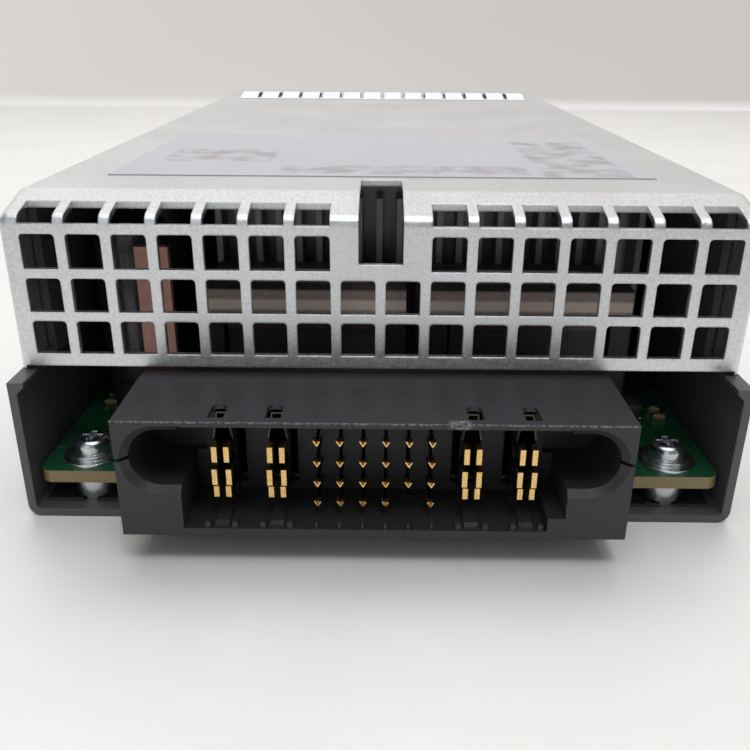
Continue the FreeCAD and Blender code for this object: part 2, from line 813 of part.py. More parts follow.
def emi_finger_strip():
    """Row of arched spring fingers on a common strip near the front of the cover."""
    body = new_body("emi_finger_strip")
    start = "tray_length - finger_from_front"
    left = "-(finger_count - 1) / 2 * finger_step - finger_width / 2"
    edge = sketch(body, "XY_Plane", "case_height")
    rectangle(edge, left, start + " - 2.4", "(finger_count - 1) * finger_step + finger_width", "2.6")
    pad(body, edge, "finger_sheet")
    knee = "finger_length * 0.35"
    rise = "case_height + finger_rise"
    under = "case_height + finger_sheet"
    arch = sketch(body, "YZ_Plane", left)
    polygon(arch, [
        (start, "case_height"), (start + " + 0.2", "case_height"),
        (start + " + " + knee, rise + " - finger_sheet"),
        (start + " + finger_length * 0.6", rise + " - finger_sheet"),
        (start + " + finger_length", "case_height + 0.02"),
        (start + " + finger_length", under + " + 0.02"),
        (start + " + finger_length * 0.6 + 0.2", rise),
        (start + " + " + knee + " - 0.2", rise), (start, under)])
    finger = pad(body, arch, "finger_width")
    pattern(body, [finger], "X_Axis", "(finger_count - 1) * finger_step", "finger_count")
    return body


# ---------------------------------------------------------------- board and its fixings
def main_board():
    """Glass-fibre main board with rounded corners and screw holes."""
    body = new_body("main_board")
    flat = sketch(body, "XY_Plane", BOARD_BOTTOM)
    rectangle(flat, "-" + BOARD_HALF, "board_rear", "2 * " + BOARD_HALF, "board_length")
    pad(body, flat, "board_thickness")
    holes = sketch(body, "XY_Plane", BOARD_BOTTOM + " - 1")
    for across, along in screw_points():
        circle(holes, across, along, "screw_radius + 0.1")
    pocket(body, holes, "board_thickness + 2")
    side = val("case_width") / 2 - val("tray_sheet") - val("board_side_gap")
    dress(body, "Fillet", lambda m, e: near(abs(m.x), side)
          and e.Length < val("board_thickness") + 0.1, "board_corner")
    return body


def board_standoffs():
    """Swaged pillars between the floor and the board."""
    parts = []
    for across, along in screw_points():
        pillar = rod("z", across, along, "tray_sheet", "standoff_radius", "standoff_tall")
        shank = rod("z", across, along, "0.1", "standoff_shank - thread_gap", "tray_sheet")
        bore = rod("z", across, along, "0", "screw_radius + thread_gap",
                   "tray_sheet + standoff_tall + 1")
        parts.append(cut(fuse([pillar, shank]), [bore]))
    return node("board_standoffs", group(parts))


def board_washers():
    """Wide captive washers with a lock ring, under the board screws."""
    parts = []
    for across, along in screw_points():
        disc = rod("z", across, along, BOARD_TOP, "washer_radius", "washer_thickness")
        lock = rod("z", across, along, BOARD_TOP, "lock_radius", "washer_thickness + lock_thickness")
        bore = rod("z", across, along, BOARD_TOP + " - 1", "screw_radius + thread_gap",
                   "washer_thickness + lock_thickness + 2")
        parts.append(cut(fuse([disc, lock]), [bore]))
    return node("board_washers", group(parts))


def board_screws():
    """Pan head screws with a cross recess."""
    parts = []
    seat = BOARD_TOP + " + washer_thickness + lock_thickness"
    for across, along in screw_points():
        shank = rod("z", across, along, "tray_sheet + 0.4", "screw_radius",
                    "standoff_tall + board_thickness + washer_thickness + lock_thickness - 0.2")
        head = rod("z", across, along, seat, "head_radius", "head_tall")
        round_head = DOC.addObject("Part::Fillet", "Head")
        round_head.Base = head
        DOC.recompute()
        top = board_top() + val("washer_thickness") + val("lock_thickness") + val("head_tall")
        rim = edges_where(head.Shape, lambda m, e: e.Length > 5 and near(m.z, top))
        fillet = val("head_tall") * 0.55
        round_head.Edges = [(int(name[4:]), fillet, fillet) for name in rim]
        slots = []
        for wide, deep in (("recess_width", "head_radius * 1.2"), ("head_radius * 1.2", "recess_width")):
            slots.append(box("(%s) - (%s) / 2" % (across, wide), "(%s) - (%s) / 2" % (along, deep),
                             seat + " + head_tall * 0.45", (wide, deep, "head_tall")))
        parts.append(cut(fuse([shank, round_head]), slots))
    return node("board_screws", group(parts))


# ---------------------------------------------------------------- output connector
def power_places():
    """Centre lines of the four power contacts."""
    outer = "power_inner + power_step"
    return ["plug_shift - %s" % outer.replace("+", "-"), "plug_shift - power_inner",
            "plug_shift + power_inner", "plug_shift + " + outer]


def signal_level(row):
    """Height of a row of signal contacts, lowest row first."""
    return "plug_bottom + signal_low + %d * signal_pitch" % row


def connector_housing():
    """Black moulded housing with a guide socket at each end."""
    body = new_body("connector_housing")
    face = "-plug_front"
    block = rectangle(sketch(body, "XZ_Plane", face), PLUG_LEFT, "plug_bottom",
                      "plug_width", "plug_tall")
    pad(body, block, "plug_depth")
    foot = rectangle(sketch(body, "XZ_Plane", "board_rear - part_gap"), "-case_width",
                     "-1", "2 * case_width", BOARD_TOP + " + 1")
    pocket(body, foot, "plug_depth")
    floor = "plug_bottom + cavity_bottom"
    high = "plug_tall - cavity_bottom - cavity_top"
    mouth = rectangle(sketch(body, "XZ_Plane", face), "plug_shift - cavity_half", floor,
                      "2 * cavity_half", high)
    pocket(body, mouth, "cavity_recess")
    plug_floor(body, face, floor)
    end = "plug_bottom + guide_level"
    guide_low = end + " - guide_tall / 2"
    for sign in ("-", "+"):
        centre = "plug_shift %s (guide_reach - guide_tall / 2)" % sign
        round_end = circle(sketch(body, "XZ_Plane", face), centre, end, "guide_tall / 2")
        pocket(body, round_end, "guide_depth")
        inner = "plug_shift - guide_reach + guide_tall / 2"
        if sign == "+":
            inner = "plug_shift + cavity_half - 1.2"
        deep = rectangle(sketch(body, "XZ_Plane", face), inner, guide_low,
                         "guide_reach - guide_tall / 2 - cavity_half + 1.2", "guide_tall")
        pocket(body, deep, "guide_depth")
    flank = sketch(body, "XZ_Plane", face)
    for centre in power_places():
        rectangle(flank, "%s - power_slot / 2" % centre, floor + " + 0.9", "power_slot", high + " - 0.9")
    pocket(body, flank, "power_slot_depth")
    bores = sketch(body, "XZ_Plane", face)
    pin_left = "plug_shift - (signal_columns - 1) / 2 * signal_pitch - pin_width / 2"
    for row in range(int(val("signal_rows"))):
        rectangle(bores, pin_left, signal_level(row) + " - pin_width / 2", "pin_width", "pin_width")
    bore = pocket(body, bores, "plug_depth")
    pattern(body, [bore], "X_Axis", "(signal_columns - 1) * signal_pitch", "signal_columns")
    vents = sketch(body, "XY_Plane", PLUG_TOP + " - cavity_top - 0.4")
    for centre in power_places():
        rectangle(vents, "%s - vent_width / 2" % centre, "-plug_front + vent_setback",
                  "vent_width", "vent_reach - vent_setback - vent_width / 2")
    pocket(body, vents, "plug_tall")
    arches = sketch(body, "XY_Plane", PLUG_TOP + " - cavity_top - 0.4")
    for centre in power_places():
        circle(arches, centre, "-plug_front + vent_reach - vent_width / 2", "vent_width / 2")
    pocket(body, arches, "plug_tall")
    slit = sketch(body, "XZ_Plane", face)
    rectangle(slit, PLUG_LEFT + " - 1", end + " - 0.2", "plug_width + 2", "0.4")
    pocket(body, slit, "slit_depth")
    NODES.remove(body)
    body.Label = "Moulding"
    return node("connector_housing", cut(fuse([body] + floor_ramps()), guide_rims()))


def plug_floor(body, face, floor):
    """Polarising step, short ribs and the ramps under the power contacts."""
    step = rectangle(sketch(body, "XZ_Plane", face), "plug_shift + cavity_half - key_step_wide",
                     "plug_bottom", "key_step_wide + 0.5", "cavity_bottom + key_step_tall")
    pad(body, step, "cavity_recess + 0.5")
    ribs = sketch(body, "XZ_Plane", face + " + 0.2")
    for centre in power_places():
        for shift in (" - ramp_width - 0.2", " + ramp_width - 0.4"):
            rectangle(ribs, centre + shift, "plug_bottom + cavity_bottom / 2", "0.6",
                      "cavity_bottom / 2 + floor_tooth")
    for column in range(int(val("signal_columns"))):
        centre = "plug_shift + (%d - (signal_columns - 1) / 2) * signal_pitch" % column
        rectangle(ribs, centre + " - 0.15", "plug_bottom + cavity_bottom / 2", "0.3",
                  "cavity_bottom / 2 + floor_tooth")
    pad(body, ribs, "0.8")


def guide_rims():
    """Tools that bevel the mouths of the two guide sockets."""
    tools = []
    middle, half = "plug_bottom + guide_level", "guide_tall / 2"
    for sign in ("-", "+"):
        centre = "plug_shift %s (guide_reach - guide_tall / 2)" % sign
        cone = DOC.addObject("Part::Cone", "Rim")
        cone.Placement = FreeCAD.Placement(Vector(), TURNS["y"])
        bind(cone, "Radius1", half + " + guide_rim")
        bind(cone, "Radius2", half)
        bind(cone, "Height", "guide_rim")
        place(cone, centre, "-plug_front", middle)
        wedge = DOC.addObject("PartDesign::Body", "Bevel")
        start = centre if sign == "-" else "plug_shift + cavity_half - 0.5"
        outline = sketch(wedge, "YZ_Plane", start)
        polygon(outline, [("-plug_front", "%s - %s - guide_rim" % (middle, half)),
                          ("-plug_front + guide_rim", "%s - %s" % (middle, half)),
                          ("-plug_front + guide_rim", "%s + %s" % (middle, half)),
                          ("-plug_front", "%s + %s + guide_rim" % (middle, half))])
        pad(wedge, outline, "guide_reach - guide_tall / 2 - cavity_half + 0.5")
        tools += [cone, wedge]
    return tools


def floor_ramps():
    """Low moulded tongues on the housing's floor below the power contacts."""
    ramps = []
    for centre in power_places():
        wall = DOC.addObject("PartDesign::Body", "Ramp")
        drawing = sketch(wall, "YZ_Plane", "%s - ramp_width / 2" % centre)
        floor = "plug_bottom + cavity_bottom"
        polygon(drawing, [("-plug_front + ramp_setback", floor + " - cavity_bottom / 3"),
                          ("-plug_front + ramp_setback", floor + " + floor_ramp / 2"),
                          ("-plug_front + 2 * ramp_setback", floor + " + floor_ramp"),
                          ("-plug_front + ramp_reach", floor + " + floor_ramp"),
                          ("-plug_front + ramp_reach", floor + " - cavity_bottom / 3")])
        pad(wall, drawing, "ramp_width")
        ramps.append(wall)
    return ramps


def power_contacts():
    """Four folded copper-alloy contacts: arch, two cheeks and three beams a side."""
    parts = []
    roof = PLUG_TOP + " - cavity_top - 0.25"
    tip = "-plug_front + beam_setback"
    root = tip + " + beam_length"
    crest = "(vent_reach - plug_front - blade_sheet)"
    end = "(power_slot_depth - plug_front - part_gap)"
    for centre in power_places():
        crown = box("%s - blade_half * 0.6" % centre, crest, roof + " - blade_sheet",
                    ("blade_half * 1.2", "%s - %s" % (end, crest), "blade_sheet"))
        solids = [crown]
        for sign in ("-", "+"):
            outer = "%s %s blade_half - blade_sheet / 2" % (centre, sign)
            solids.append(box(outer, root, BOARD_TOP, (
                "blade_sheet", "%s - (%s)" % (end, root), "plug_bottom + cheek_tall - (%s)" % BOARD_TOP)))
            solids.append(slanted_cheek(centre, sign, crest, end, roof))
            for level, spread in (("low_beam", "0"), ("mid_beam", "beam_flare"), ("high_beam", "0")):
                solids.append(contact_beam(centre, sign, tip, root, level, spread))
        parts.append(fuse(solids))
    return node("power_contacts", group(parts))


def slanted_cheek(centre, sign, crest, end, roof):
    """Leaning strip between the crown and the upright cheek."""
    wall = DOC.addObject("PartDesign::Body", "Cheek")
    drawing = sketch(wall, "XZ_Plane", crest)
    foot = "plug_bottom + cheek_tall - blade_sheet"
    out = "%s %s blade_half" % (centre, sign)
    head = "%s %s blade_half * 0.5" % (centre, sign)
    polygon(drawing, [(out + " - blade_sheet / 2", foot), (out + " + blade_sheet / 2", foot),
                      (head + " + blade_sheet / 2", roof), (head + " - blade_sheet / 2", roof)])
    pad(wall, drawing, "%s - %s" % (end, crest))
    return wall


def contact_beam(centre, sign, tip, root, level, spread):
    """Sprung beam that leans in to its contact point and flares at the tip."""
    other = "-" if sign == "+" else "+"
    inner = "%s %s (beam_gap / 2 + %s)" % (centre, sign, spread)
    thick = "%s beam_tip" % sign
    cheek = "%s %s blade_half" % (centre, sign)
    wall = DOC.addObject("PartDesign::Body", "Beam")
    drawing = sketch(wall, "XY_Plane", "plug_bottom + " + level)
    polygon(drawing, [
        ("%s %s beam_flare" % (inner, sign), tip), (inner, tip + " + 0.7"),
        (inner, tip + " + 1.1"), ("%s %s blade_sheet / 2" % (cheek, other), root),
        ("%s %s blade_sheet / 2" % (cheek, other), root + " + 0.6"),
        ("%s %s blade_sheet / 2" % (cheek, sign), root + " + 0.6"),
        ("%s %s blade_sheet / 2" % (cheek, sign), root),
        ("%s %s" % (inner, thick), tip + " + 1.1"), ("%s %s" % (inner, thick), tip + " + 0.4"),
        ("%s %s %s beam_flare" % (inner, thick, sign), tip)])
    pad(wall, drawing, level + "_tall")
    return wall


def signal_contacts():
    """Square signal pins with forked tips; tails bend down to the board."""
    parts = []
    full = "-plug_front + signal_setback"
    for row in range(int(val("signal_rows"))):
        level = signal_level(row)
        for column in range(int(val("signal_columns"))):
            centre = "plug_shift + (%s - (signal_columns - 1) / 2) * signal_pitch" % column
            tail = "plug_depth - plug_front + 1.4 + %d * tail_step" % row
            tip = full if (row, column) != (0, 4) else full + " + short_pin_step"
            bar = box("%s - pin_width / 2" % centre, tip + " + fork_reach", level + " - pin_width / 2",
                      ("pin_width", "(%s) - (%s) - fork_reach" % (tail, tip), "pin_width"))
            leg = box("%s - pin_width / 2" % centre, tail + " - pin_width", BOARD_TOP,
                      ("pin_width", "pin_width", "%s - (%s)" % (level, BOARD_TOP)))
            solids = [bar, leg]
            for turn in (-30, 30):
                prong = DOC.addObject("Part::Box", "Prong")
                prong.Placement = FreeCAD.Placement(Vector(), FreeCAD.Rotation(Vector(0, 1, 0), turn))
                bind(prong, "Length", "prong_sheet")
                bind(prong, "Width", "fork_reach + pin_width")
                bind(prong, "Height", "prong_length")
                place(prong, "%s - prong_sheet / 2" % centre, tip, level + " - pin_width / 3")
                solids.append(prong)
            parts.append(fuse(solids))
    return node("signal_contacts", group(parts))


# ---------------------------------------------------------------- front panel
def front_panel():
    """Steel front panel with two side flanges and the ears of the pull handle."""
    body = new_body("front_panel")
    low, wide = "tray_sheet + 2 * seam_gap", LOWER_INNER + " - panel_gap"
    narrow = UPPER_INNER + " - panel_gap"
    neck = "seam_level - seam_gap - 1.6 - panel_gap"
    right = [(wide, low), (wide, neck), (narrow, neck + " + 1"), (narrow, WALL_TOP)]
    left = [("-(%s)" % across, up) for across, up in reversed(right)]
    pad(body, polygon(sketch(body, "XZ_Plane", PANEL_BACK), right + left), "panel_sheet")
    flange_low = "%s - 6" % SCREW_LEVEL
    for sign in ("", "-"):
        edge = "%s - panel_sheet" % narrow if not sign else "-(%s)" % narrow
        flange = rectangle(sketch(body, "XY_Plane", flange_low), edge, "tray_length - panel_flange",
                           "panel_sheet", "panel_flange - panel_sheet / 2")
        pad(body, flange, "(%s) - (%s)" % (WALL_TOP, flange_low))
    holes = sketch(body, "YZ_Plane", "-case_width")
    circle(holes, case_screw_places()[0], SCREW_LEVEL, "case_screw_radius + thread_gap")
    pocket(body, holes, "2 * case_width")
    for sign in ("-", "+"):
        ear = sketch(body, "YZ_Plane", bail_ear(sign))
        rectangle(ear, PANEL_BACK, "bail_level - pivot_radius - 1.6", "panel_sheet + bail_standoff",
                  "2 * pivot_radius + 3.2")
        pad(body, ear, "ear_sheet")
        tip = circle(sketch(body, "YZ_Plane", bail_ear(sign)), BAIL_Y, "bail_level", "pivot_radius + 1.6")
        pad(body, tip, "ear_sheet")
    bores = circle(sketch(body, "YZ_Plane", "-case_width"), BAIL_Y, "bail_level",
                   "pivot_radius + thread_gap")
    pocket(body, bores, "2 * case_width")
    windows = sketch(body, "XZ_Plane", PANEL_BACK + " - 0.5")
    circle(windows, FAN_X, FAN_LEVEL, FAN_BORE)
    for across in (FAN_X + " - " + FAN_STEP, FAN_X + " + " + FAN_STEP):
        for up in (" - " + FAN_STEP, " + " + FAN_STEP):
            circle(windows, across, FAN_LEVEL + up, "screw_radius + 0.15")
    inlet_opening(windows, INLET_WIDE + " + 2 * panel_gap", "inlet_tall + 2 * panel_gap")
    swing = "(latch_reach + 1) * tan(latch_swing * 1 deg)"
    rectangle(windows, LATCH_OUTER + " - latch_sheet - %s - 0.6" % swing, "latch_bottom - 0.5",
              "latch_sheet + %s + 1.2" % swing, "latch_tall + 1")
    circle(windows, LATCH_X, LAMP_LEVEL, "lamp_radius + thread_gap")
    pocket(body, windows, "panel_sheet + 1")
    return body


def bail_ear(sign):
    """Low x of an ear, outside the handle's arm."""
    if sign == "-":
        return "%s - %s / 2 - ear_gap - ear_sheet" % (INLET_X, BAIL_WIDE)
    return "%s + %s / 2 + ear_gap" % (INLET_X, BAIL_WIDE)


def inlet_opening(drawing, wide, tall):
    """Rectangle with two cut corners at the top, centred on the inlet."""
    left, right = "%s - (%s) / 2" % (INLET_X, wide), "%s + (%s) / 2" % (INLET_X, wide)
    low, high = "%s - (%s) / 2" % (INLET_LEVEL, tall), "%s + (%s) / 2" % (INLET_LEVEL, tall)
    return polygon(drawing, [(left, low), (right, low), (right, high + " - inlet_corner"),
                             (right + " - inlet_corner", high), (left + " + inlet_corner", high),
                             (left, high + " - inlet_corner")])


def ac_inlet_shell():
    """Snap-in mains inlet: flange, body, recess and snap wedges."""
    body = new_body("ac_inlet_shell")
    rear = "tray_length + inlet_flange - inlet_depth"
    core = inlet_opening(sketch(body, "XZ_Plane", rear), INLET_WIDE, "inlet_tall")
    pad(body, core, "inlet_depth")
    rim = sketch(body, "XZ_Plane", "tray_length")
    rectangle(rim, INLET_LEFT + " - inlet_flange_edge",
              INLET_LEVEL + " - inlet_tall / 2 - inlet_flange_edge",
              INLET_WIDE + " + 2 * inlet_flange_edge", "inlet_tall + 2 * inlet_flange_edge")
    pad(body, rim, "inlet_flange")
    dress(body, "Fillet", lambda m, e: abs(m.y - val("tray_length") - val("inlet_flange") / 2) < 0.1
          and near(e.Length, val("inlet_flange")), "inlet_flange_edge * 0.7")
    recess = inlet_opening(sketch(body, "XZ_Plane", "tray_length + inlet_flange - inlet_recess"),
                           INLET_WIDE + " - 2 * inlet_wall", "inlet_tall - 2 * inlet_wall")
    pocket(body, recess, "inlet_recess")
    holes = sketch(body, "XZ_Plane", rear)
    for across, up in pin_places():
        rectangle(holes, across + " - blade_pin_thick / 2", up + " - blade_pin_wide / 2",
                  "blade_pin_thick", "blade_pin_wide")
    pocket(body, holes, "inlet_depth")
    wedge = sketch(body, "XY_Plane", INLET_LEVEL + " - 3")
    for sign in ("-", "+"):
        face = "%s %s (%s / 2 - 0.1)" % (INLET_X, sign, INLET_WIDE)
        out = "%s %s (%s / 2 + 1.1)" % (INLET_X, sign, INLET_WIDE)
        polygon(wedge, [(face, "tray_length - 7"), (face, PANEL_BACK + " - seam_gap"),
                        (out, PANEL_BACK + " - seam_gap")])
    pad(body, wedge, "6")
    return body


def pin_places():
    """Middles of live, earth and neutral pins."""
    return [("%s - %s" % (INLET_X, PIN_STEP), INLET_LEVEL + " - live_pin_drop"),
            (INLET_X, INLET_LEVEL + " + earth_pin_rise"),
            ("%s + %s" % (INLET_X, PIN_STEP), INLET_LEVEL + " - live_pin_drop")]


def inlet_pins():
    """Three flat mains pins with solder tabs behind the shell."""
    rear = "tray_length + inlet_flange - inlet_depth"
    parts = []
    for across, up in pin_places():
        blade = box(across + " - blade_pin_thick / 2", rear, up + " - blade_pin_wide / 2",
                    ("blade_pin_thick", "inlet_depth - 2.5", "blade_pin_wide"))
        tab = box(across + " - tab_thick / 2", "%s - tab_length" % rear, up + " - tab_wide / 2",
                  ("tab_thick", "tab_length", "tab_wide"))
        parts.append(fuse([blade, tab]))
    return node("inlet_pins", group(parts))


def status_lamp():
    """Clear light guide pressed into the front panel."""
    rear = "tray_length + lamp_proud - lamp_length"
    rod_part = rod("y", LATCH_X, rear, LAMP_LEVEL, "lamp_radius", "lamp_length")
    collar = rod("y", LATCH_X, PANEL_BACK + " - 0.8", LAMP_LEVEL, "lamp_radius + 0.6", "0.8")
    return node("status_lamp", fuse([rod_part, collar]))


# ---------------------------------------------------------------- pull handle
def pull_handle():
    """Bail that lies flat round the inlet and swings down to a right angle."""
    body = new_body("pull_handle")
    left, right = "%s - %s / 2" % (INLET_X, BAIL_WIDE), "%s + %s / 2" % (INLET_X, BAIL_WIDE)
    top, low = BAIL_TOP, "bail_level"
    front = BAIL_Y + " - bail_thick / 2"
    hoop = polygon(sketch(body, "XZ_Plane", front), [
        (left, low), (left, top), (right, top), (right, low), (right + " - bail_arm", low),
        (right + " - bail_arm", top + " - bail_bar"), (left + " + bail_arm", top + " - bail_bar"),
        (left + " + bail_arm", low)])
    pad(body, hoop, "bail_thick")
    thick, inner = val("bail_thick"), inlet_top() + val("inlet_flange_edge") + val("bail_top_gap")
    dress(body, "Fillet", lambda m, e: near(e.Length, thick) and near(m.z, inner + val("bail_bar")), "3")
    dress(body, "Fillet", lambda m, e: near(e.Length, thick) and near(m.z, inner), "1.5")
    for start in (left, right + " - bail_arm"):
        foot = circle(sketch(body, "YZ_Plane", start), BAIL_Y, low, "bail_thick / 2")
        pad(body, foot, "bail_arm")
    bore = circle(sketch(body, "YZ_Plane", "-case_width"), BAIL_Y, low, "pivot_radius + pivot_gap")
    pocket(body, bore, "3 * case_width")
    return body


def inlet_top():
    """Height of the upper edge of the inlet's body."""
    middle = (val("tray_sheet") + val("case_height") - val("cover_sheet")) / 2
    return middle - val("inlet_drop") + val("inlet_tall") / 2


def handle_pins():
    """Two rivets that carry the handle in its ears."""
    parts = []
    for sign in ("-", "+"):
        reach = "ear_sheet + ear_gap + bail_arm - 0.1"
        if sign == "-":
            start, head = bail_ear(sign), bail_ear(sign) + " - 0.6"
        else:
            start = "%s + %s / 2 - bail_arm + 0.1" % (INLET_X, BAIL_WIDE)
            head = bail_ear(sign) + " + ear_sheet"
        parts.append(fuse([rod("x", start, BAIL_Y, "bail_level", "pivot_radius", reach),
                           rod("x", head, BAIL_Y, "bail_level", "rivet_head", "0.6")]))
    return node("handle_pins", group(parts))


# ---------------------------------------------------------------- release latch
def release_latch():
    """Moulded lever with a side hook and a thumb tab."""
    body = new_body("release_latch")
    inner = LATCH_OUTER + " - latch_sheet"
    tab = "tray_length + latch_tab_out"
    strip = polygon(sketch(body, "XY_Plane", "latch_bottom"), [
        (inner, LATCH_Y), (LATCH_OUTER, LATCH_Y), (LATCH_OUTER, "tray_length + 1.5"),
        (LATCH_OUTER + " + 1.2", "tray_length + 3.5"), (LATCH_OUTER + " + 1.2", tab + " - 2"),
        (LATCH_OUTER, tab), (inner, tab)])
    pad(body, strip, "latch_tall")
    barrel = circle(sketch(body, "XY_Plane", "latch_bottom"), LATCH_X, LATCH_Y, "latch_barrel")
    pad(body, barrel, "latch_tall")
    catch = "case_width / 2 + hook_out"
    start = LATCH_Y + " + hook_length"
    hook = polygon(sketch(body, "XY_Plane", "latch_bottom"), [
        (LATCH_OUTER + " - 0.5", start), (catch, start + " + hook_back - 1.5"),
        (catch, start + " + hook_back"), (LATCH_OUTER + " - 0.5", start + " + hook_back")])
    pad(body, hook, "hook_tall")
    bore = circle(sketch(body, "XY_Plane", "latch_bottom - 1"), LATCH_X, LATCH_Y,
                  "pivot_radius + pivot_gap")
    pocket(body, bore, "latch_tall + 2")
    return body


def latch_bracket():
    """Pressed channel, welded to the wall, that holds the latch pin and spring."""
    body = new_body("latch_bracket")
    outer = UPPER_INNER
    rear = LATCH_Y + " - latch_barrel - 1"
    long = "latch_barrel + hook_length + 0.5"
    web = rectangle(sketch(body, "XY_Plane", "latch_bottom - ear_gap - bracket_sheet"),
                    WEB_X, rear, "bracket_sheet", long)
    pad(body, web, "latch_tall + 2 * ear_gap + 2 * bracket_sheet")
    for level in ("latch_bottom - ear_gap - bracket_sheet", "latch_bottom + latch_tall + ear_gap"):
        ear = rectangle(sketch(body, "XY_Plane", level), WEB_X, rear,
                        "(%s) - %s" % (outer, WEB_X), long)
        pad(body, ear, "bracket_sheet")
    weld = rectangle(sketch(body, "XY_Plane", "latch_bottom + latch_tall + ear_gap"),
                     outer + " - bracket_sheet", rear, "bracket_sheet", long)
    pad(body, weld, "6")
    bore = circle(sketch(body, "XY_Plane", "0"), LATCH_X, LATCH_Y, "pivot_radius + thread_gap")
    pocket(body, bore, "case_height")
    return body


def latch_pin():
    """Headed steel pin of the release latch."""
    low = "latch_bottom - ear_gap - bracket_sheet"
    shank = rod("z", LATCH_X, LATCH_Y, low + " - 0.4", "pivot_radius",
                "latch_tall + 2 * ear_gap + 2 * bracket_sheet + 0.8")
    head = rod("z", LATCH_X, LATCH_Y, low + " - 0.8", "rivet_head", "0.8")
    return node("latch_pin", fuse([shank, head]))


def latch_spring():
    """Compression spring between the bracket's web and the lever."""
    wall = (val("case_width") / 2 - val("cover_sheet") - val("seam_gap") - val("tray_sheet"))
    start = wall - val("latch_pivot_inset") - val("bracket_reach") + val("bracket_sheet")
    end = wall - val("latch_air") - val("latch_sheet")
    wire, radius = val("spring_wire") / 2, val("spring_radius")
    length = end - start - 2 * wire - 0.04
    spring = DOC.addObject("Part::Feature", "Spring")
    spring.Shape = coil_of(wire, radius, length, int(val("spring_turns")))
    across = start + wire + 0.02
    along = val("tray_length") - val("latch_reach") + 7.2
    middle = val("latch_bottom") + val("latch_tall") / 2
    spring.Placement = FreeCAD.Placement(Vector(across, along, middle), TURNS["x"])
    return node("latch_spring", spring)


def coil_of(wire, radius, length, turns):
    """Round wire along a helix about +Z: two half tubes through worked-out rings, and flat ends."""
    halves = []
    steps = 24 * turns
    for side in (0.0, math.pi):
        grid = []
        for step in range(steps + 1):
            angle = 2 * math.pi * step * turns / steps
            out = Vector(math.cos(angle), math.sin(angle), 0)
            way = Vector(-out.y * radius, out.x * radius, length / (2 * math.pi * turns))
            way.normalize()
            middle = out * radius + Vector(0, 0, length * step / steps)
            ring = [side + math.pi * share / 8 for share in range(9)]
            grid.append([middle + out * wire * math.cos(turn) + way.cross(out) * wire * math.sin(turn)
                         for turn in ring])
        tube = Part.BSplineSurface()
        tube.interpolate(grid)
        halves.append(tube.toShape())
    caps = []
    for end in (0, steps):
        rims = [edge for half in halves for edge in half.Edges
                if near(edge.Length, math.pi * wire, wire)
                and near(edge.CenterOfMass.z, length * end / steps, wire)]
        caps.append(Part.Face(Part.Wire(rims)))
    skin = Part.Shell(halves + caps)
    skin.sewShape()
    return Part.Solid(skin)


# ---------------------------------------------------------------- fan
def fan_frame():
    """Square fan housing with duct, motor plate, four struts and bearing tube."""
    half = FAN_SIZE + " / 2"
    low = "(%s) - %s" % (FAN_LEVEL, half)
    plates = [box("%s - %s" % (FAN_X, half), along, low, (FAN_SIZE, "fan_flange", FAN_SIZE))
              for along in (FAN_BACK, "%s - fan_flange" % PANEL_BACK)]
    duct = rod("y", FAN_X, FAN_BACK, FAN_LEVEL, half, "fan_depth")
    bore = rod("y", FAN_X, FAN_BACK + " - 1", FAN_LEVEL, FAN_BORE, "fan_depth + 2")
    holes = [rod("y", across, FAN_BACK + " - 1", FAN_LEVEL + up, "screw_radius + 0.1", "fan_depth + 2")
             for across in (FAN_X + " - " + FAN_STEP, FAN_X + " + " + FAN_STEP)
             for up in (" - " + FAN_STEP, " + " + FAN_STEP)]
    shell = cut(fuse(plates + [duct]), [bore] + holes)
    web = "%s - fan_web" % PANEL_BACK
    plate = rod("y", FAN_X, web, FAN_LEVEL, "fan_hub", "fan_web")
    span = "2 * %s + 1" % FAN_BORE
    bars = [box("%s - %s - 0.5" % (FAN_X, FAN_BORE), web, FAN_LEVEL + " - 0.9",
                (span, "fan_web", "1.8")),
            box(FAN_X + " - 0.9", web, "%s - %s - 0.5" % (FAN_LEVEL, FAN_BORE),
                ("1.8", "fan_web", span))]
    tube_long = "(fan_depth - fan_web - 7)"
    tube = rod("y", FAN_X, "%s - %s" % (web, tube_long), FAN_LEVEL, "bearing_radius + 1",
               tube_long)
    seat = rod("y", FAN_X, "%s - %s - 1" % (web, tube_long), FAN_LEVEL,
               "bearing_radius + 0.02", tube_long + " + 1")
    return node("fan_frame", fuse([shell, cut(fuse([plate] + bars + [tube]), [seat])]))


def bearing_places():
    """Low y of the two fan bearings."""
    web = "%s - fan_web" % PANEL_BACK
    return ["%s - bearing_wide" % web, "%s - (fan_depth - fan_web - 7)" % web]


def fan_bearings():
    """Two plain bearing rings in the fan's tube."""
    parts = []
    for along in bearing_places():
        ring = rod("y", FAN_X, along, FAN_LEVEL, "bearing_radius", "bearing_wide")
        bore = rod("y", FAN_X, along + " - 1", FAN_LEVEL, "shaft_radius + running_gap",
                   "bearing_wide + 2")
        parts.append(cut(ring, [bore]))
    return node("fan_bearings", group(parts))


def fan_stator():
    """Four-pole laminated stator round the bearing tube."""
    along = FAN_BACK + " + fan_depth - fan_web - 12"
    ring = rod("y", FAN_X, along, FAN_LEVEL, "bearing_radius + 2", "5")
    bars = [box(FAN_X + " - 7", along, FAN_LEVEL + " - 1", ("14", "5", "2")),
            box(FAN_X + " - 1", along, FAN_LEVEL + " - 7", ("2", "5", "14"))]
    bore = rod("y", FAN_X, along + " - 1", FAN_LEVEL, "bearing_radius + 1.02", "7")
    return node("fan_stator", cut(fuse([ring] + bars), [bore]))


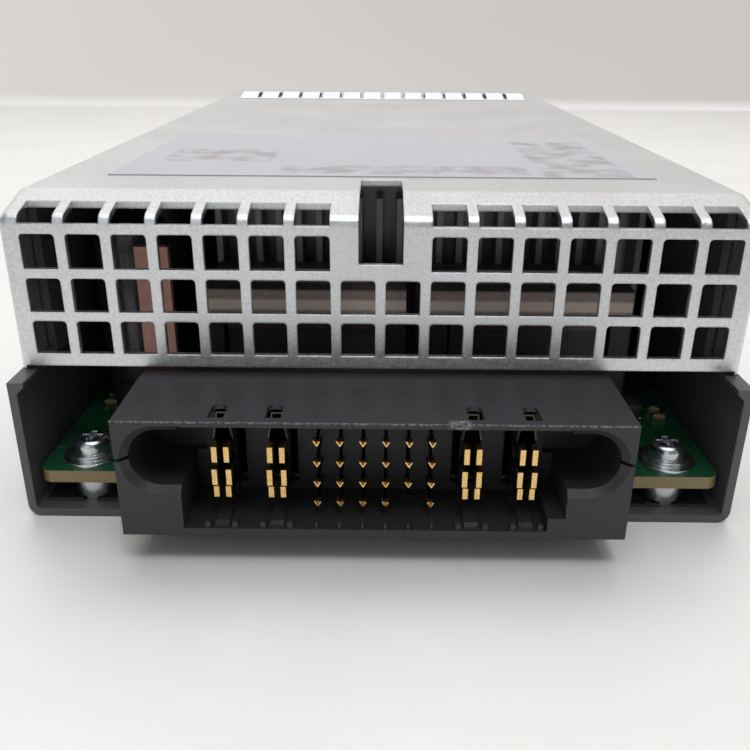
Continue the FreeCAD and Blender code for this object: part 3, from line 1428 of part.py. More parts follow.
def fan_rotor():
    """Hub cup, shaft and curved blades."""
    level = (val("tray_sheet") + val("case_height") - val("cover_sheet")) / 2
    rear = val("tray_length") - val("panel_sheet") - val("fan_depth")
    size = val("case_height") - val("cover_sheet") - val("tray_sheet") - 2 * val("fan_air")
    hub, tip = val("fan_hub"), size / 2 - val("fan_wall") - val("fan_tip_gap")
    deep = val("fan_depth") - val("fan_web") - 2.0
    way = Vector(0, 1, 0)
    cup = Part.makeCylinder(hub, deep, Vector(0, 0, 0), way)
    cup = cup.cut(Part.makeCylinder(hub - 1.0, deep, Vector(0, 1.4, 0), way))
    cup = cup.fuse(Part.makeCylinder(val("shaft_radius"), deep + 0.6, Vector(0, 0, 0), way))
    count = int(val("fan_blades"))
    blade = Part.makeLoft([blade_section(radius, lean, deep) for radius, lean in
                           ((hub - 0.4, 34.0), ((hub + tip) / 2, 28.0), (tip, 22.0))], True, True)
    for number in range(count):
        turned = blade.copy()
        turned.rotate(Vector(0, 0, 0), way, 360.0 * number / count)
        cup = cup.fuse(turned)
    rotor = DOC.addObject("Part::Feature", "Rotor")
    rotor.Shape = cup
    rotor.Placement = FreeCAD.Placement(Vector(fan_middle(), rear + 1.0, level), FreeCAD.Rotation())
    return node("fan_rotor", rotor)


def fan_middle():
    """Place of the fan's axis across the case."""
    wall = val("case_width") / 2 - val("cover_sheet") - val("seam_gap") - val("tray_sheet")
    size = val("case_height") - val("cover_sheet") - val("tray_sheet") - 2 * val("fan_air")
    return val("fan_side_gap") + size / 2 - wall


def blade_section(radius, lean, deep):
    """Cambered outline of a blade at one radius, square to the radius."""
    chord = deep * 0.9
    tilt = math.radians(lean)
    upper, lower = [], []
    for step in range(7):
        along = chord * (step / 6.0 - 0.5)
        camber = 0.10 * chord * (1 - (2 * step / 6.0 - 1) ** 2)
        thick = 0.25 + 0.45 * (1 - (2 * step / 6.0 - 1) ** 2)
        for side, rail in ((1, upper), (-1, lower)):
            off = camber + side * thick
            axial = deep * 0.5 + along * math.cos(tilt) - off * math.sin(tilt)
            round_way = along * math.sin(tilt) + off * math.cos(tilt)
            rail.append(Vector(round_way, axial, radius))
    outline = upper + lower[::-1]
    return Part.makePolygon(outline + [outline[0]])


def rotor_magnet():
    """Magnet ring inside the rotor's cup."""
    deep = "fan_depth - fan_web - 2 - 4"
    along = FAN_BACK + " + 1 + 2"
    ring = rod("y", FAN_X, along, FAN_LEVEL, "fan_hub - 1.02", deep)
    bore = rod("y", FAN_X, along + " - 1", FAN_LEVEL, "fan_hub - 2", deep + " + 2")
    return node("rotor_magnet", cut(ring, [bore]))


def fan_guard():
    """Welded wire guard held under the fan screws."""
    along = "tray_length + guard_wire"
    parts = [torus("y", FAN_X, "%s + guard_wire * 1.4" % along, FAN_LEVEL, ring, "guard_wire")
             for ring in ["%s - 0.2 - %d * guard_step" % (FAN_BORE, number) for number in range(4)]]
    reach = FAN_STEP + " * 1.4142"
    for turn in (45, 135):
        spoke = DOC.addObject("Part::Cylinder", "Spoke")
        flat = FreeCAD.Rotation(Vector(0, 1, 0), turn)
        spoke.Placement = FreeCAD.Placement(Vector(), flat)
        bind(spoke, "Radius", "guard_wire")
        bind(spoke, "Height", "2 * %s - 5" % reach)
        way = "-" if turn == 45 else "+"
        place(spoke, "%s - (%s - 2.5) * sin(45 deg)" % (FAN_X, reach), along,
              FAN_LEVEL + " %s (%s - 2.5) * cos(45 deg)" % (way, reach))
        parts.append(spoke)
    eyes = []
    for across in (FAN_X + " - " + FAN_STEP, FAN_X + " + " + FAN_STEP):
        for up in (" - " + FAN_STEP, " + " + FAN_STEP):
            eyes.append(torus("y", across, along, FAN_LEVEL + up, "screw_radius + 0.9", "guard_wire"))
    return node("fan_guard", fuse(parts + eyes))


def fan_screws():
    """Four pan head screws through guard and panel into the fan."""
    parts = []
    seat = "tray_length + 2 * guard_wire"
    for across in (FAN_X + " - " + FAN_STEP, FAN_X + " + " + FAN_STEP):
        for up in (" - " + FAN_STEP, " + " + FAN_STEP):
            shank = rod("y", across, "tray_length - 10", FAN_LEVEL + up, "screw_radius",
                        "10 + 2 * guard_wire")
            head = rod("y", across, seat, FAN_LEVEL + up, "head_radius", "head_tall")
            slot = [box(across + " - head_radius * 0.6", seat + " + head_tall * 0.45",
                        FAN_LEVEL + up + " - recess_width / 2",
                        ("head_radius * 1.2", "head_tall", "recess_width")),
                    box(across + " - recess_width / 2", seat + " + head_tall * 0.45",
                        FAN_LEVEL + up + " - head_radius * 0.6",
                        ("recess_width", "head_tall", "head_radius * 1.2"))]
            parts.append(cut(fuse([shank, head]), slot))
    return node("fan_screws", group(parts))


# ---------------------------------------------------------------- power stage
def output_busbar():
    """Copper strap that stands on a foot beside the output contacts."""
    left = "busbar_x - busbar_wide / 2"
    foot = box(left, "busbar_y - busbar_foot", BOARD_TOP, ("busbar_wide", "busbar_foot", "busbar_thick"))
    strap = box(left, "busbar_y", BOARD_TOP, ("busbar_wide", "busbar_thick", "busbar_tall"))
    return node("output_busbar", fuse([foot, strap]))


def choke_places():
    """Low x of the two output chokes."""
    return ["choke_shift - choke_width / 2", "choke_shift + choke_step - choke_width / 2"]


def output_choke_cores():
    """Ferrite blocks of the output chokes."""
    parts = [box(left + " + 3", "choke_y + 1", BOARD_TOP,
                 ("choke_width - 6", "choke_deep - 2", "choke_core_tall"))
             for left in choke_places()]
    return node("output_choke_cores", group(parts))


def output_choke_bobbins():
    """Pale moulded bobbins: two end cheeks and a deep top band."""
    parts = []
    top = BOARD_TOP + " + choke_tall - choke_band"
    for left in choke_places():
        band = box(left, "choke_y", top, ("choke_width", "choke_deep", "choke_band"))
        cheeks = [box(start, "choke_y", BOARD_TOP, ("2.6", "choke_deep", "choke_tall"))
                  for start in (left, left + " + choke_width - 2.6")]
        window = box(left + " + 5", "choke_y + 3", top + " + choke_band - 1.2",
                     ("choke_width - 10", "choke_deep - 6", "2"))
        parts.append(cut(fuse([band] + cheeks), [window]))
    return node("output_choke_bobbins", group(parts))


def output_choke_windings():
    """Flat copper turns between ferrite and band."""
    parts = []
    low = BOARD_TOP + " + choke_core_tall"
    tall = "choke_tall - choke_band - choke_core_tall"
    for left in choke_places():
        parts.append(box(left + " + 3", "choke_y + 0.6", low,
                         ("choke_width - 6", "choke_deep - 1.2", tall)))
    return node("output_choke_windings", group(parts))


def finned_sink(label, start, length_axis):
    """Extruded comb: a base plate with a pattern of fins."""
    body = new_body(label)
    if length_axis == "x":
        left, fin_y = "sink_left", SINK_Y + " - sink_fin"
        base = rectangle(sketch(body, "XY_Plane", start), left, SINK_Y,
                         SINK_RIGHT + " - sink_left", "sink_base")
        fin = rectangle(sketch(body, "XY_Plane", start), left, fin_y, "sink_fin_sheet",
                        "sink_fin + sink_base / 2")
        span, step, role = SINK_RIGHT + " - sink_left - sink_fin_sheet", "sink_pitch", "X_Axis"
    else:
        left = "prim_x - sink_base"
        base = rectangle(sketch(body, "XY_Plane", start), left, "prim_y", "sink_base", "prim_long")
        fin = rectangle(sketch(body, "XY_Plane", start), "%s - %s" % (left, PRIM_FIN), "prim_y",
                        PRIM_FIN + " + sink_base / 2", "sink_fin_sheet")
        span, step, role = "prim_long - sink_fin_sheet", "prim_pitch", "Y_Axis"
    pad(body, base, TALL)
    comb = pad(body, fin, TALL + " - 1.5")
    pattern(body, [comb], role, span, "floor((%s) / %s) + 1" % (span, step))
    return body


def secondary_heat_sink():
    """Black finned heat sink across the connector end."""
    return finned_sink("secondary_heat_sink", BOARD_TOP, "x")


def primary_heat_sink():
    """Black finned heat sink along the left wall."""
    return finned_sink("primary_heat_sink", BOARD_TOP, "y")


def secondary_devices():
    """Three flat packages on the secondary heat sink."""
    face = SINK_Y + " + sink_base"
    parts = []
    for share in ("0.2", "0.5", "0.8"):
        middle = "sink_left + (%s - sink_left) * %s" % (SINK_RIGHT, share)
        low = BOARD_TOP + " + device_level - 6"
        pack = box(middle + " - device_wide / 2", face, low, ("device_wide", "device_thick", "device_tall"))
        legs = [box(middle + shift, face + " + device_thick / 2", BOARD_TOP,
                    ("0.8", "0.6", "device_level - 5.9")) for shift in (" - 2.94", " - 0.4", " + 2.14")]
        bore = rod("y", middle, face + " - 1", low + " + device_tall - 2.8", "1.7", "device_thick + 2")
        parts.append(cut(fuse([pack] + legs), [bore]))
    return node("secondary_devices", group(parts))


def primary_devices():
    """Two large transistors on the primary heat sink."""
    parts = []
    for number in range(2):
        middle = "power_pack_y + %d * (power_pack_wide + 2)" % number
        low = BOARD_TOP + " + 5"
        pack = box("prim_x", middle + " - power_pack_wide / 2", low,
                   ("power_pack_thick", "power_pack_wide", "power_pack_tall"))
        legs = [box("prim_x + power_pack_thick / 2", middle + shift, BOARD_TOP,
                    ("0.6", "1.2", "5.1")) for shift in (" - 6", " - 0.6", " + 4.8")]
        bore = rod("x", "prim_x - 1", middle, low + " + power_pack_tall - 5", "1.8",
                   "power_pack_thick + 2")
        parts.append(cut(fuse([pack] + legs), [bore]))
    return node("primary_devices", group(parts))


def bridge_rectifier():
    """Flat bridge rectifier beside the transistors."""
    low = BOARD_TOP + " + 4"
    pack = box("prim_x", "bridge_y - bridge_wide / 2", low,
               ("power_pack_thick", "bridge_wide", "bridge_tall"))
    legs = [box("prim_x + power_pack_thick / 2", "bridge_y" + shift, BOARD_TOP, ("0.6", "1.2", "4.1"))
            for shift in (" - 8.1", " - 3.1", " + 1.9", " + 6.9")]
    bore = rod("x", "prim_x - 1", "bridge_y", low + " + bridge_tall - 5", "1.8", "power_pack_thick + 2")
    return node("bridge_rectifier", cut(fuse([pack] + legs), [bore]))


def device_screws():
    """Screws that clamp the packages to their heat sinks."""
    parts = []
    for share in ("0.2", "0.5", "0.8"):
        middle = "sink_left + (%s - sink_left) * %s" % (SINK_RIGHT, share)
        level = BOARD_TOP + " + device_level - 6 + device_tall - 2.8"
        face = SINK_Y + " + sink_base"
        parts.append(fuse([rod("y", middle, face, level, "1.4", "device_thick"),
                           rod("y", middle, face + " + device_thick", level, "2.6", "clamp_head")]))
    spots = [("power_pack_y", "5 + power_pack_tall - 5"),
             ("power_pack_y + power_pack_wide + 2", "5 + power_pack_tall - 5"),
             ("bridge_y", "4 + bridge_tall - 5")]
    for along, up in spots:
        level = BOARD_TOP + " + " + up
        parts.append(fuse([rod("x", "prim_x", along, level, "1.4", "power_pack_thick"),
                           rod("x", "prim_x + power_pack_thick", along, level, "2.6", "clamp_head")]))
    return node("device_screws", group(parts))


def can(across, along, radius, tall):
    """Standing capacitor can with a rounded rim and a bead near the base."""
    low = BOARD_TOP + " + can_lift"
    shell = rod("z", across, along, low, radius, tall)
    foot = rod("z", across, along, BOARD_TOP, radius + " * 0.7", "can_lift + 0.1")
    bead = torus("z", across, along, low + " + 2.6", radius + " + 0.45", "0.7")
    return fuse([cut(shell, [bead]), foot])


def output_capacitors():
    """Row of small cans behind the busbar."""
    parts = [can(CAN_X, "out_can_y + %d * out_can_step" % number, "out_can_radius", "out_can_tall")
             for number in range(int(val("out_can_count")))]
    return node("output_capacitors", group(parts))


def bulk_capacitors():
    """Large high-voltage cans."""
    parts = [can(BULK_X, "bulk_y + %d * bulk_step" % number, "bulk_radius", BULK_TALL)
             for number in range(int(val("bulk_count")))]
    return node("bulk_capacitors", group(parts))


def transformer_core():
    """Ferrite core: two yokes, two outer legs and a round centre post."""
    left, rear = TRAFO_X + " - trafo_wide / 2", "trafo_y - trafo_long / 2"
    parts = [box(left, rear, low, ("trafo_wide", "trafo_long", "trafo_yoke"))
             for low in (BOARD_TOP + " + trafo_lift", BOARD_TOP + " + %s - trafo_yoke" % TALL)]
    inner = TRAFO_TALL + " - 2 * trafo_yoke"
    level = BOARD_TOP + " + trafo_lift + trafo_yoke"
    for start in (left, left + " + trafo_wide - trafo_leg * 0.6"):
        parts.append(box(start, rear, level, ("trafo_leg * 0.6", "trafo_long", inner)))
    parts.append(rod("z", TRAFO_X, "trafo_y", level, "trafo_post", inner))
    return node("transformer_core", fuse(parts))


def transformer_bobbin():
    """Bobbin tube, two flanges and the pin rails on the board."""
    level = BOARD_TOP + " + trafo_lift + trafo_yoke + 0.2"
    tall = TRAFO_TALL + " - 2 * trafo_yoke - 0.4"
    reach = "trafo_post + bobbin_sheet + winding_wall - 0.6"
    parts = [rod("z", TRAFO_X, "trafo_y", low, reach, "bobbin_sheet")
             for low in (level, level + " + %s - bobbin_sheet" % tall)]
    parts.append(rod("z", TRAFO_X, "trafo_y", level, "trafo_post + bobbin_sheet", tall))
    bore = rod("z", TRAFO_X, "trafo_y", level + " - 1", "trafo_post + 0.1", tall + " + 2")
    tube = cut(fuse(parts), [bore])
    rails = [box(TRAFO_X + " - trafo_wide / 2 + 2", along, BOARD_TOP,
                 ("trafo_wide - 4", "4", "trafo_lift"))
             for along in ("trafo_y - trafo_long / 2", "trafo_y + trafo_long / 2 - 4")]
    return node("transformer_bobbin", group([tube] + rails))


def transformer_winding():
    """Taped winding round the bobbin."""
    level = BOARD_TOP + " + trafo_lift + trafo_yoke + 0.2 + bobbin_sheet"
    tall = TRAFO_TALL + " - 2 * trafo_yoke - 0.4 - 2 * bobbin_sheet"
    ring = rod("z", TRAFO_X, "trafo_y", level, "trafo_post + bobbin_sheet + winding_wall - 1.2", tall)
    bore = rod("z", TRAFO_X, "trafo_y", level + " - 1", "trafo_post + bobbin_sheet + 0.02",
               tall + " + 2")
    return node("transformer_winding", cut(ring, [bore]))


def ring_core(label, axis, across, along, level, radius, bore, tall):
    """Ring core of rectangular section."""
    ring = rod(axis, across, along, level, radius, tall)
    start = [across, along, level]
    start["xyz".index(axis)] += " - 1"
    hole = rod(axis, start[0], start[1], start[2], bore, tall + " + 2")
    return node(label, cut(ring, [hole]))


def winding_turn(bore, radius, tall, wire):
    """One closed turn of round wire about the section of a ring core lying flat."""
    gap = wire / 2 + val("turn_gap")
    low, high = Vector(bore - gap, 0, -gap), Vector(radius + gap, 0, tall + gap)
    corners = [Vector(low.x, 0, low.z), Vector(high.x, 0, low.z),
               Vector(high.x, 0, high.z), Vector(low.x, 0, high.z)]
    bend = wire * 0.9
    edges = []
    for number, corner in enumerate(corners):
        before = corners[number - 1] - corner
        after = corners[(number + 1) % 4] - corner
        past = corners[(number + 1) % 4]
        before.normalize()
        after.normalize()
        first, last = corner + before * bend, corner + after * bend
        middle = corner + (before + after) * bend * (1 - math.sqrt(0.5))
        edges.append(Part.Arc(first, middle, last).toShape())
        edges.append(Part.LineSegment(last, past - after * bend).toShape())
    path = Part.Wire(Part.__sortEdges__(edges))
    profile = Part.Wire(Part.makeCircle(wire / 2, edges[1].Vertexes[0].Point,
                                        edges[1].tangentAt(edges[1].FirstParameter)))
    return path.makePipeShell([profile], True, True)


def turns_about(label, turn, angles, placement):
    """Copies of one turn about the ring's axis, as separate solids."""
    copies = []
    for angle in angles:
        piece = turn.copy()
        piece.rotate(Vector(0, 0, 0), Vector(0, 0, 1), angle)
        copies.append(piece)
    winding = DOC.addObject("Part::Feature", "Winding")
    winding.Shape = Part.makeCompound(copies)
    winding.Placement = placement
    return node(label, winding)


def board_top():
    """Height of the board's upper face."""
    return val("tray_sheet") + val("standoff_tall") + val("board_thickness")


def bulk_middle():
    """Place of the large cans across the case."""
    wall = val("case_width") / 2 - val("cover_sheet") - val("seam_gap") - val("tray_sheet")
    return wall - val("bulk_gap") - val("bulk_radius")


def boost_choke_core():
    """Upright powder core of the boost choke."""
    level = BOARD_TOP + " + boost_lift + boost_radius"
    return ring_core("boost_choke_core", "y", BOOST_X, "boost_y - boost_wide / 2", level,
                     "boost_radius", "boost_bore", "boost_wide")


def boost_choke_winding():
    """Enamelled copper turns round the upright core."""
    wire = val("boost_wire")
    turn = winding_turn(val("boost_bore"), val("boost_radius"), val("boost_wide"), wire)
    count = int(val("boost_turns"))
    angles = [-165 + 330.0 * (number + 0.5) / count + 90 for number in range(count)]
    level = board_top() + val("boost_lift") + val("boost_radius")
    spot = Vector(bulk_middle() - val("bulk_radius") - val("boost_gap") - val("boost_radius"),
                  val("boost_y") - val("boost_wide") / 2, level)
    return turns_about("boost_choke_winding", turn, angles, FreeCAD.Placement(spot, TURNS["y"]))


def choke_cradles():
    """Plastic seats under the boost and filter chokes."""
    cradle = box(BOOST_X + " - boost_radius * 0.7", "boost_y - boost_wide / 2 - 1.6", BOARD_TOP,
                 ("boost_radius * 1.4", "boost_wide + 3.2", "boost_lift + 3"))
    level = BOARD_TOP + " + boost_lift + boost_radius"
    hollow = rod("y", BOOST_X, "boost_y - boost_wide / 2 - 3", level,
                 "boost_radius + boost_wire + 0.3", "boost_wide + 6")
    base = rod("z", EMI_X, "emi_y", BOARD_TOP, "emi_radius + 0.6", "emi_seat")
    return node("choke_cradles", group([cut(cradle, [hollow]), base]))


def emi_choke_core():
    """Flat ferrite ring of the mains filter choke."""
    level = BOARD_TOP + " + emi_seat + emi_wire + turn_gap + 0.1"
    return ring_core("emi_choke_core", "z", EMI_X, "emi_y", level, "emi_radius", "emi_bore", "emi_tall")


def emi_choke_winding():
    """Two separate halves of enamelled turns."""
    wire = val("emi_wire")
    turn = winding_turn(val("emi_bore"), val("emi_radius"), val("emi_tall"), wire)
    half = [30 + 12.0 * number for number in range(11)]
    level = board_top() + val("emi_seat") + wire + val("turn_gap") + 0.1
    left = val("prim_x") + val("power_pack_thick") + val("clamp_head")
    right = bulk_middle() - val("bulk_radius") - val("relay_gap") - val("relay_wide")
    spot = Vector((left + right) / 2, val("emi_y"), level)
    return turns_about("emi_choke_winding", turn, half + [angle + 180 for angle in half],
                       FreeCAD.Placement(spot, FreeCAD.Rotation()))


def film_capacitor():
    """Boxed mains filter capacitor."""
    block = box(FILM_X + " - film_wide / 2", "film_y - film_deep / 2", BOARD_TOP,
                ("film_wide", "film_deep", "film_tall"))
    return node("film_capacitor", block)


def inrush_relay():
    """Sealed relay block."""
    block = box(RELAY_X + " - relay_wide / 2", "relay_y - relay_long / 2", BOARD_TOP,
                ("relay_wide", "relay_long", "relay_tall"))
    return node("inrush_relay", block)


def mains_fuse():
    """Ceramic cartridge fuse."""
    level = BOARD_TOP + " + 1.2 + fuse_radius"
    return node("mains_fuse", rod("x", FUSE_X, "fuse_y", level, "fuse_radius", "fuse_long"))


def fuse_clips():
    """Two sprung clips under the fuse ends."""
    level = BOARD_TOP + " + 1.2 + fuse_radius"
    parts = []
    for start in (FUSE_X + " + 0.6", FUSE_X + " + fuse_long - 5.6"):
        ring = rod("x", start, "fuse_y", level, "fuse_radius + clip_sheet", "5")
        foot = box(start, "fuse_y - 1.6", BOARD_TOP, ("5", "3.2", "1.4"))
        bore = rod("x", start + " - 1", "fuse_y", level, "fuse_radius", "7")
        mouth = box(start + " - 1", "fuse_y - fuse_radius * 0.7", level + " + fuse_radius * 0.3",
                    ("7", "fuse_radius * 1.4", "fuse_radius * 2"))
        parts.append(cut(fuse([ring, foot]), [bore, mouth]))
    return node("fuse_clips", group(parts))


def control_card():
    """Upright control card with a pin header foot."""
    card = box(CARD_X, "card_y", BOARD_TOP + " + 2", ("card_thick", "card_long", "card_tall"))
    foot = box(CARD_X + " - 0.5", "card_y + 2", BOARD_TOP, ("card_thick + 1", "card_long - 4", "2"))
    return node("control_card", fuse([card, foot]))


def card_chips():
    """Control chips on the card."""
    face = CARD_X + " + card_thick"
    parts = [box(face, "card_y + 4", BOARD_TOP + " + 12", ("chip_thick", "chip_size", "chip_size")),
             box(face, "card_y + card_long - 12", BOARD_TOP + " + 7", ("chip_thick", "chip_size", "5")),
             box(face, "card_y + card_long - 12", BOARD_TOP + " + 16", ("chip_thick", "5", "chip_size"))]
    return node("card_chips", group(parts))


def air_baffle():
    """Plastic sheet that parts the fan bay from the inlet bay."""
    sheet = box(BAFFLE_X, "board_rear + board_length + 1", "tray_sheet",
                ("baffle_thick", "%s - board_rear - board_length - 1" % PANEL_BACK,
                 "%s - tray_sheet - 0.4" % COVER_INNER))
    return node("air_baffle", sheet)


# ---------------------------------------------------------------- leads
def lead(points, radius):
    """Round lead of straight runs joined by tangent arcs."""
    edges = []
    start = points[0]
    for before, corner, after in zip(points, points[1:], points[2:]):
        inward, outward = before - corner, after - corner
        short = 0.45 * min(inward.Length, outward.Length)
        inward.normalize()
        outward.normalize()
        half = inward.getAngle(outward) / 2
        first, last = corner + inward * short, corner + outward * short
        bend = short * math.tan(half)
        line = (inward + outward)
        line.normalize()
        middle = corner + line * (bend / math.sin(half) - bend)
        edges.append(Part.LineSegment(start, first).toShape())
        edges.append(Part.Arc(first, middle, last).toShape())
        start = last
    edges.append(Part.LineSegment(start, points[-1]).toShape())
    path = Part.Wire(edges)
    profile = Part.Wire(Part.makeCircle(radius, points[0], points[1] - points[0]))
    return path.makePipeShell([profile], True, True)


def wire_start():
    """Place of the first inlet wire on the board, inward of the screw."""
    board = val("case_width") / 2 - val("tray_sheet") - val("board_side_gap")
    screw = (board + val("plug_width") / 2) / 2 + val("screw_shift")
    return screw - val("wire_screw_gap") - 2 * val("wire_step")


def inlet_wires():
    """Three wires from the inlet's tabs to the board."""
    rear = val("tray_length") + val("inlet_flange") - val("inlet_depth") - val("tab_length")
    top, edge = board_top(), val("board_rear") + val("board_length")
    size = val("case_height") - val("cover_sheet") - val("tray_sheet") - 2 * val("fan_air")
    wall = val("case_width") / 2 - val("cover_sheet") - val("seam_gap") - val("tray_sheet")
    left = fan_middle() + size / 2 + val("inlet_fan_gap")
    right = wall - val("latch_pivot_inset") - val("inlet_latch_gap")
    middle, level = (left + right) / 2, inlet_top() - val("inlet_tall") / 2
    step = (right - left) / 2 - val("inlet_wall") - val("pin_side_gap") - val("blade_pin_thick") / 2
    first = wire_start()
    spots = ((middle - step, level - val("live_pin_drop"), first, 4.0),
             (middle, level + val("earth_pin_rise"), first + val("wire_step"), 2.6),
             (middle + step, level - val("live_pin_drop"), first + 2 * val("wire_step"), 1.2))
    pieces = []
    for across, up, landing, inset in spots:
        pieces.append(lead([Vector(across, rear, up), Vector(across, rear - 3.2, up),
                            Vector((across + landing) / 2, edge - inset + 3.4, up - 3.5),
                            Vector(landing, edge - inset, top + 4.5),
                            Vector(landing, edge - inset, top)],
                           val("lead_radius")))
    wires = DOC.addObject("Part::Feature", "Wires")
    wires.Shape = Part.makeCompound(pieces)
    wires.Placement = FreeCAD.Placement()
    return node("inlet_wires", wires)


def fan_plug():
    """Fan header and plug on the board."""
    block = box(FAN_PLUG_X, "board_rear + board_length - 7.5", BOARD_TOP,
                ("fan_plug_size", "fan_plug_size", "6"))
    return node("fan_plug", block)


def fan_lead():
    """Jacketed fan lead from the frame to its plug."""
    edge = val("board_rear") + val("board_length")
    size = val("case_height") - val("cover_sheet") - val("tray_sheet") - 2 * val("fan_air")
    start = Vector(fan_middle() + size / 2 - 3,
                   val("tray_length") - val("panel_sheet") - val("fan_depth"), board_top() + 5.2)
    plug = (wire_start() - val("fuse_wire_gap") - val("fuse_long") - val("fan_plug_gap")
            - val("fan_plug_size") / 2)
    end = Vector(plug, edge - 5, board_top() + 6)
    cord = DOC.addObject("Part::Feature", "Lead")
    cord.Shape = lead([start, start + Vector(0, -3.6, 0), end + Vector(-2.0, 3.6, 4.2),
                       end + Vector(0, 0, 3.2), end], val("lead_radius"))
    cord.Placement = FreeCAD.Placement()
    return node("fan_lead", cord)


BUILDERS = [
    chassis_tray, top_cover, insulating_liner, case_screws, rating_label, emi_finger_strip,
    main_board, board_standoffs, board_washers, board_screws,
    connector_housing, power_contacts, signal_contacts,
    front_panel, ac_inlet_shell, inlet_pins, status_lamp, pull_handle, handle_pins,
    release_latch, latch_bracket, latch_pin, latch_spring,
    fan_frame, fan_bearings, fan_stator, fan_rotor, rotor_magnet, fan_guard, fan_screws,
    output_busbar, output_choke_cores, output_choke_bobbins, output_choke_windings,
    secondary_heat_sink, primary_heat_sink, secondary_devices, primary_devices,
    bridge_rectifier, device_screws, output_capacitors, bulk_capacitors,
    transformer_core, transformer_bobbin, transformer_winding,
    boost_choke_core, boost_choke_winding, choke_cradles, emi_choke_core, emi_choke_winding,
    film_capacitor, inrush_relay, mains_fuse, fuse_clips, control_card, card_chips,
    air_baffle, inlet_wires, fan_plug, fan_lead,
]


# ---------------------------------------------------------------- finish
def main():
    """Build every sub-part, check it and write its STEP file."""
    fill_sheet()
    for build in BUILDERS:
        build()
    DOC.recompute()
    for item in DOC.Objects:
        if "Invalid" in item.State or "Error" in item.State:
            raise RuntimeError("%s (%s) failed: %s" % (item.Label, item.Name, item.State))
    os.makedirs("parts", exist_ok=True)
    for item in NODES:
        shape = item.Shape
        if shape.isNull() or not shape.isValid() or not shape.Solids:
            raise RuntimeError("%s has no valid shape" % item.Label)
    for item in NODES:
        item.Shape.exportStep("parts/%s.step" % item.Label)
        print("%-22s solids %3d  volume %10.1f" % (item.Label, len(item.Shape.Solids), item.Shape.Volume))


main()
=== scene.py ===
"""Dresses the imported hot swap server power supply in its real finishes.

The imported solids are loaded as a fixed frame. Each sub-assembly is a class
that dresses its solids and adds the fine pieces that ride on them. New pieces
are surfaces worked out with numpy. Lengths are metres in the frame of the
solids: +Z up, +Y from the output connector to the fan.
"""
from __future__ import annotations

import json
import logging
import math
from dataclasses import dataclass, field
from enum import Enum
from typing import Iterable, Optional, Sequence
import bmesh
import bpy
import numpy as np
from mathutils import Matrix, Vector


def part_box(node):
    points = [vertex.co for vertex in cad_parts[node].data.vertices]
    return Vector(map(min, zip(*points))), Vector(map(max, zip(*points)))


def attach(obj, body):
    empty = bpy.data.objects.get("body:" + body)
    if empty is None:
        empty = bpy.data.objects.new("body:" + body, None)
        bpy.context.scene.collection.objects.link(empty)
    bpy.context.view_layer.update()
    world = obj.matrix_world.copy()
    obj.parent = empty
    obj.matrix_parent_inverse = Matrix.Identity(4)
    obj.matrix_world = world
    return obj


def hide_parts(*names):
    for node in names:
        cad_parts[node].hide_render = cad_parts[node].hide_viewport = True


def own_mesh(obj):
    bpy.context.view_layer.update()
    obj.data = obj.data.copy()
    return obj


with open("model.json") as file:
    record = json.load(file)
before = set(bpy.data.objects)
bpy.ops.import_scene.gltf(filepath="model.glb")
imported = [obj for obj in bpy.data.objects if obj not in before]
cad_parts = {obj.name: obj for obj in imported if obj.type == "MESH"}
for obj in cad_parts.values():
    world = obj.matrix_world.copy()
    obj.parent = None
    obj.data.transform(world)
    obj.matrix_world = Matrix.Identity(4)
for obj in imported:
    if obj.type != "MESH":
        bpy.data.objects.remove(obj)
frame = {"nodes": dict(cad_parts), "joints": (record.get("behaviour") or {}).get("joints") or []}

LOG = logging.getLogger("power_supply")
MM = 0.001
METRE = 1000.0  # in millimetres, so METRE / size is how many grains of that size a metre holds
WELD = 1e-7  # points closer than this are one
SHARE, UNDER, OVER, MIXED = 0, 6, 7, 2  # sockets of a colour mix: factor, two colours, result

Tree = bpy.types.NodeTree
Node = bpy.types.Node
Socket = bpy.types.NodeSocket
Piece = bpy.types.Object


# ------------------------------------------------------------------ colour and nodes
def linear(code: str) -> tuple[float, float, float, float]:
    """Turn an sRGB hex colour into linear light.

    Args:
        code: Six hex digits with a leading hash.

    Returns:
        Linear red, green, blue and an alpha of one.
    """
    parts = [int(code[i:i + 2], 16) / 255.0 for i in (1, 3, 5)]
    light = [c / 12.92 if c <= 0.04045 else ((c + 0.055) / 1.055) ** 2.4 for c in parts]
    return (light[0], light[1], light[2], 1.0)


def add(tree: Tree, kind: str, settings: Optional[dict] = None,
        links: Optional[dict] = None) -> Node:
    """Add one node with its settings and its incoming links.

    Args:
        tree: Node tree that gets the node.
        kind: Blender's name for the kind of node.
        settings: Property names, or socket names and indices, with their values.
        links: Socket names or indices with the output socket that feeds each.

    Returns:
        The new node.
    """
    made = tree.nodes.new(kind)
    for key, value in (settings or {}).items():
        if isinstance(key, str) and hasattr(made, key):
            setattr(made, key, value)
        else:
            made.inputs[key].default_value = value
    for key, source in (links or {}).items():
        tree.links.new(source, made.inputs[key])
    return made


def window(tree: Tree, value: Socket, low: float, high: float, soft: float) -> Socket:
    """Mask that is one between two values and falls off smoothly outside them.

    Args:
        tree: Node tree that gets the nodes.
        value: Number to test.
        low: Lower end of the window.
        high: Upper end of the window.
        soft: Width of the fall on each side.

    Returns:
        Socket with the mask.
    """
    rise = add(tree, "ShaderNodeMapRange",
               {"interpolation_type": "SMOOTHSTEP", "From Min": low - soft, "From Max": low},
               {"Value": value})
    fall = add(tree, "ShaderNodeMapRange",
               {"interpolation_type": "SMOOTHSTEP", "From Min": high, "From Max": high + soft,
                "To Min": 1.0, "To Max": 0.0}, {"Value": value})
    both = add(tree, "ShaderNodeMath", {"operation": "MULTIPLY"},
               {0: rise.outputs[0], 1: fall.outputs[0]})
    return both.outputs[0]


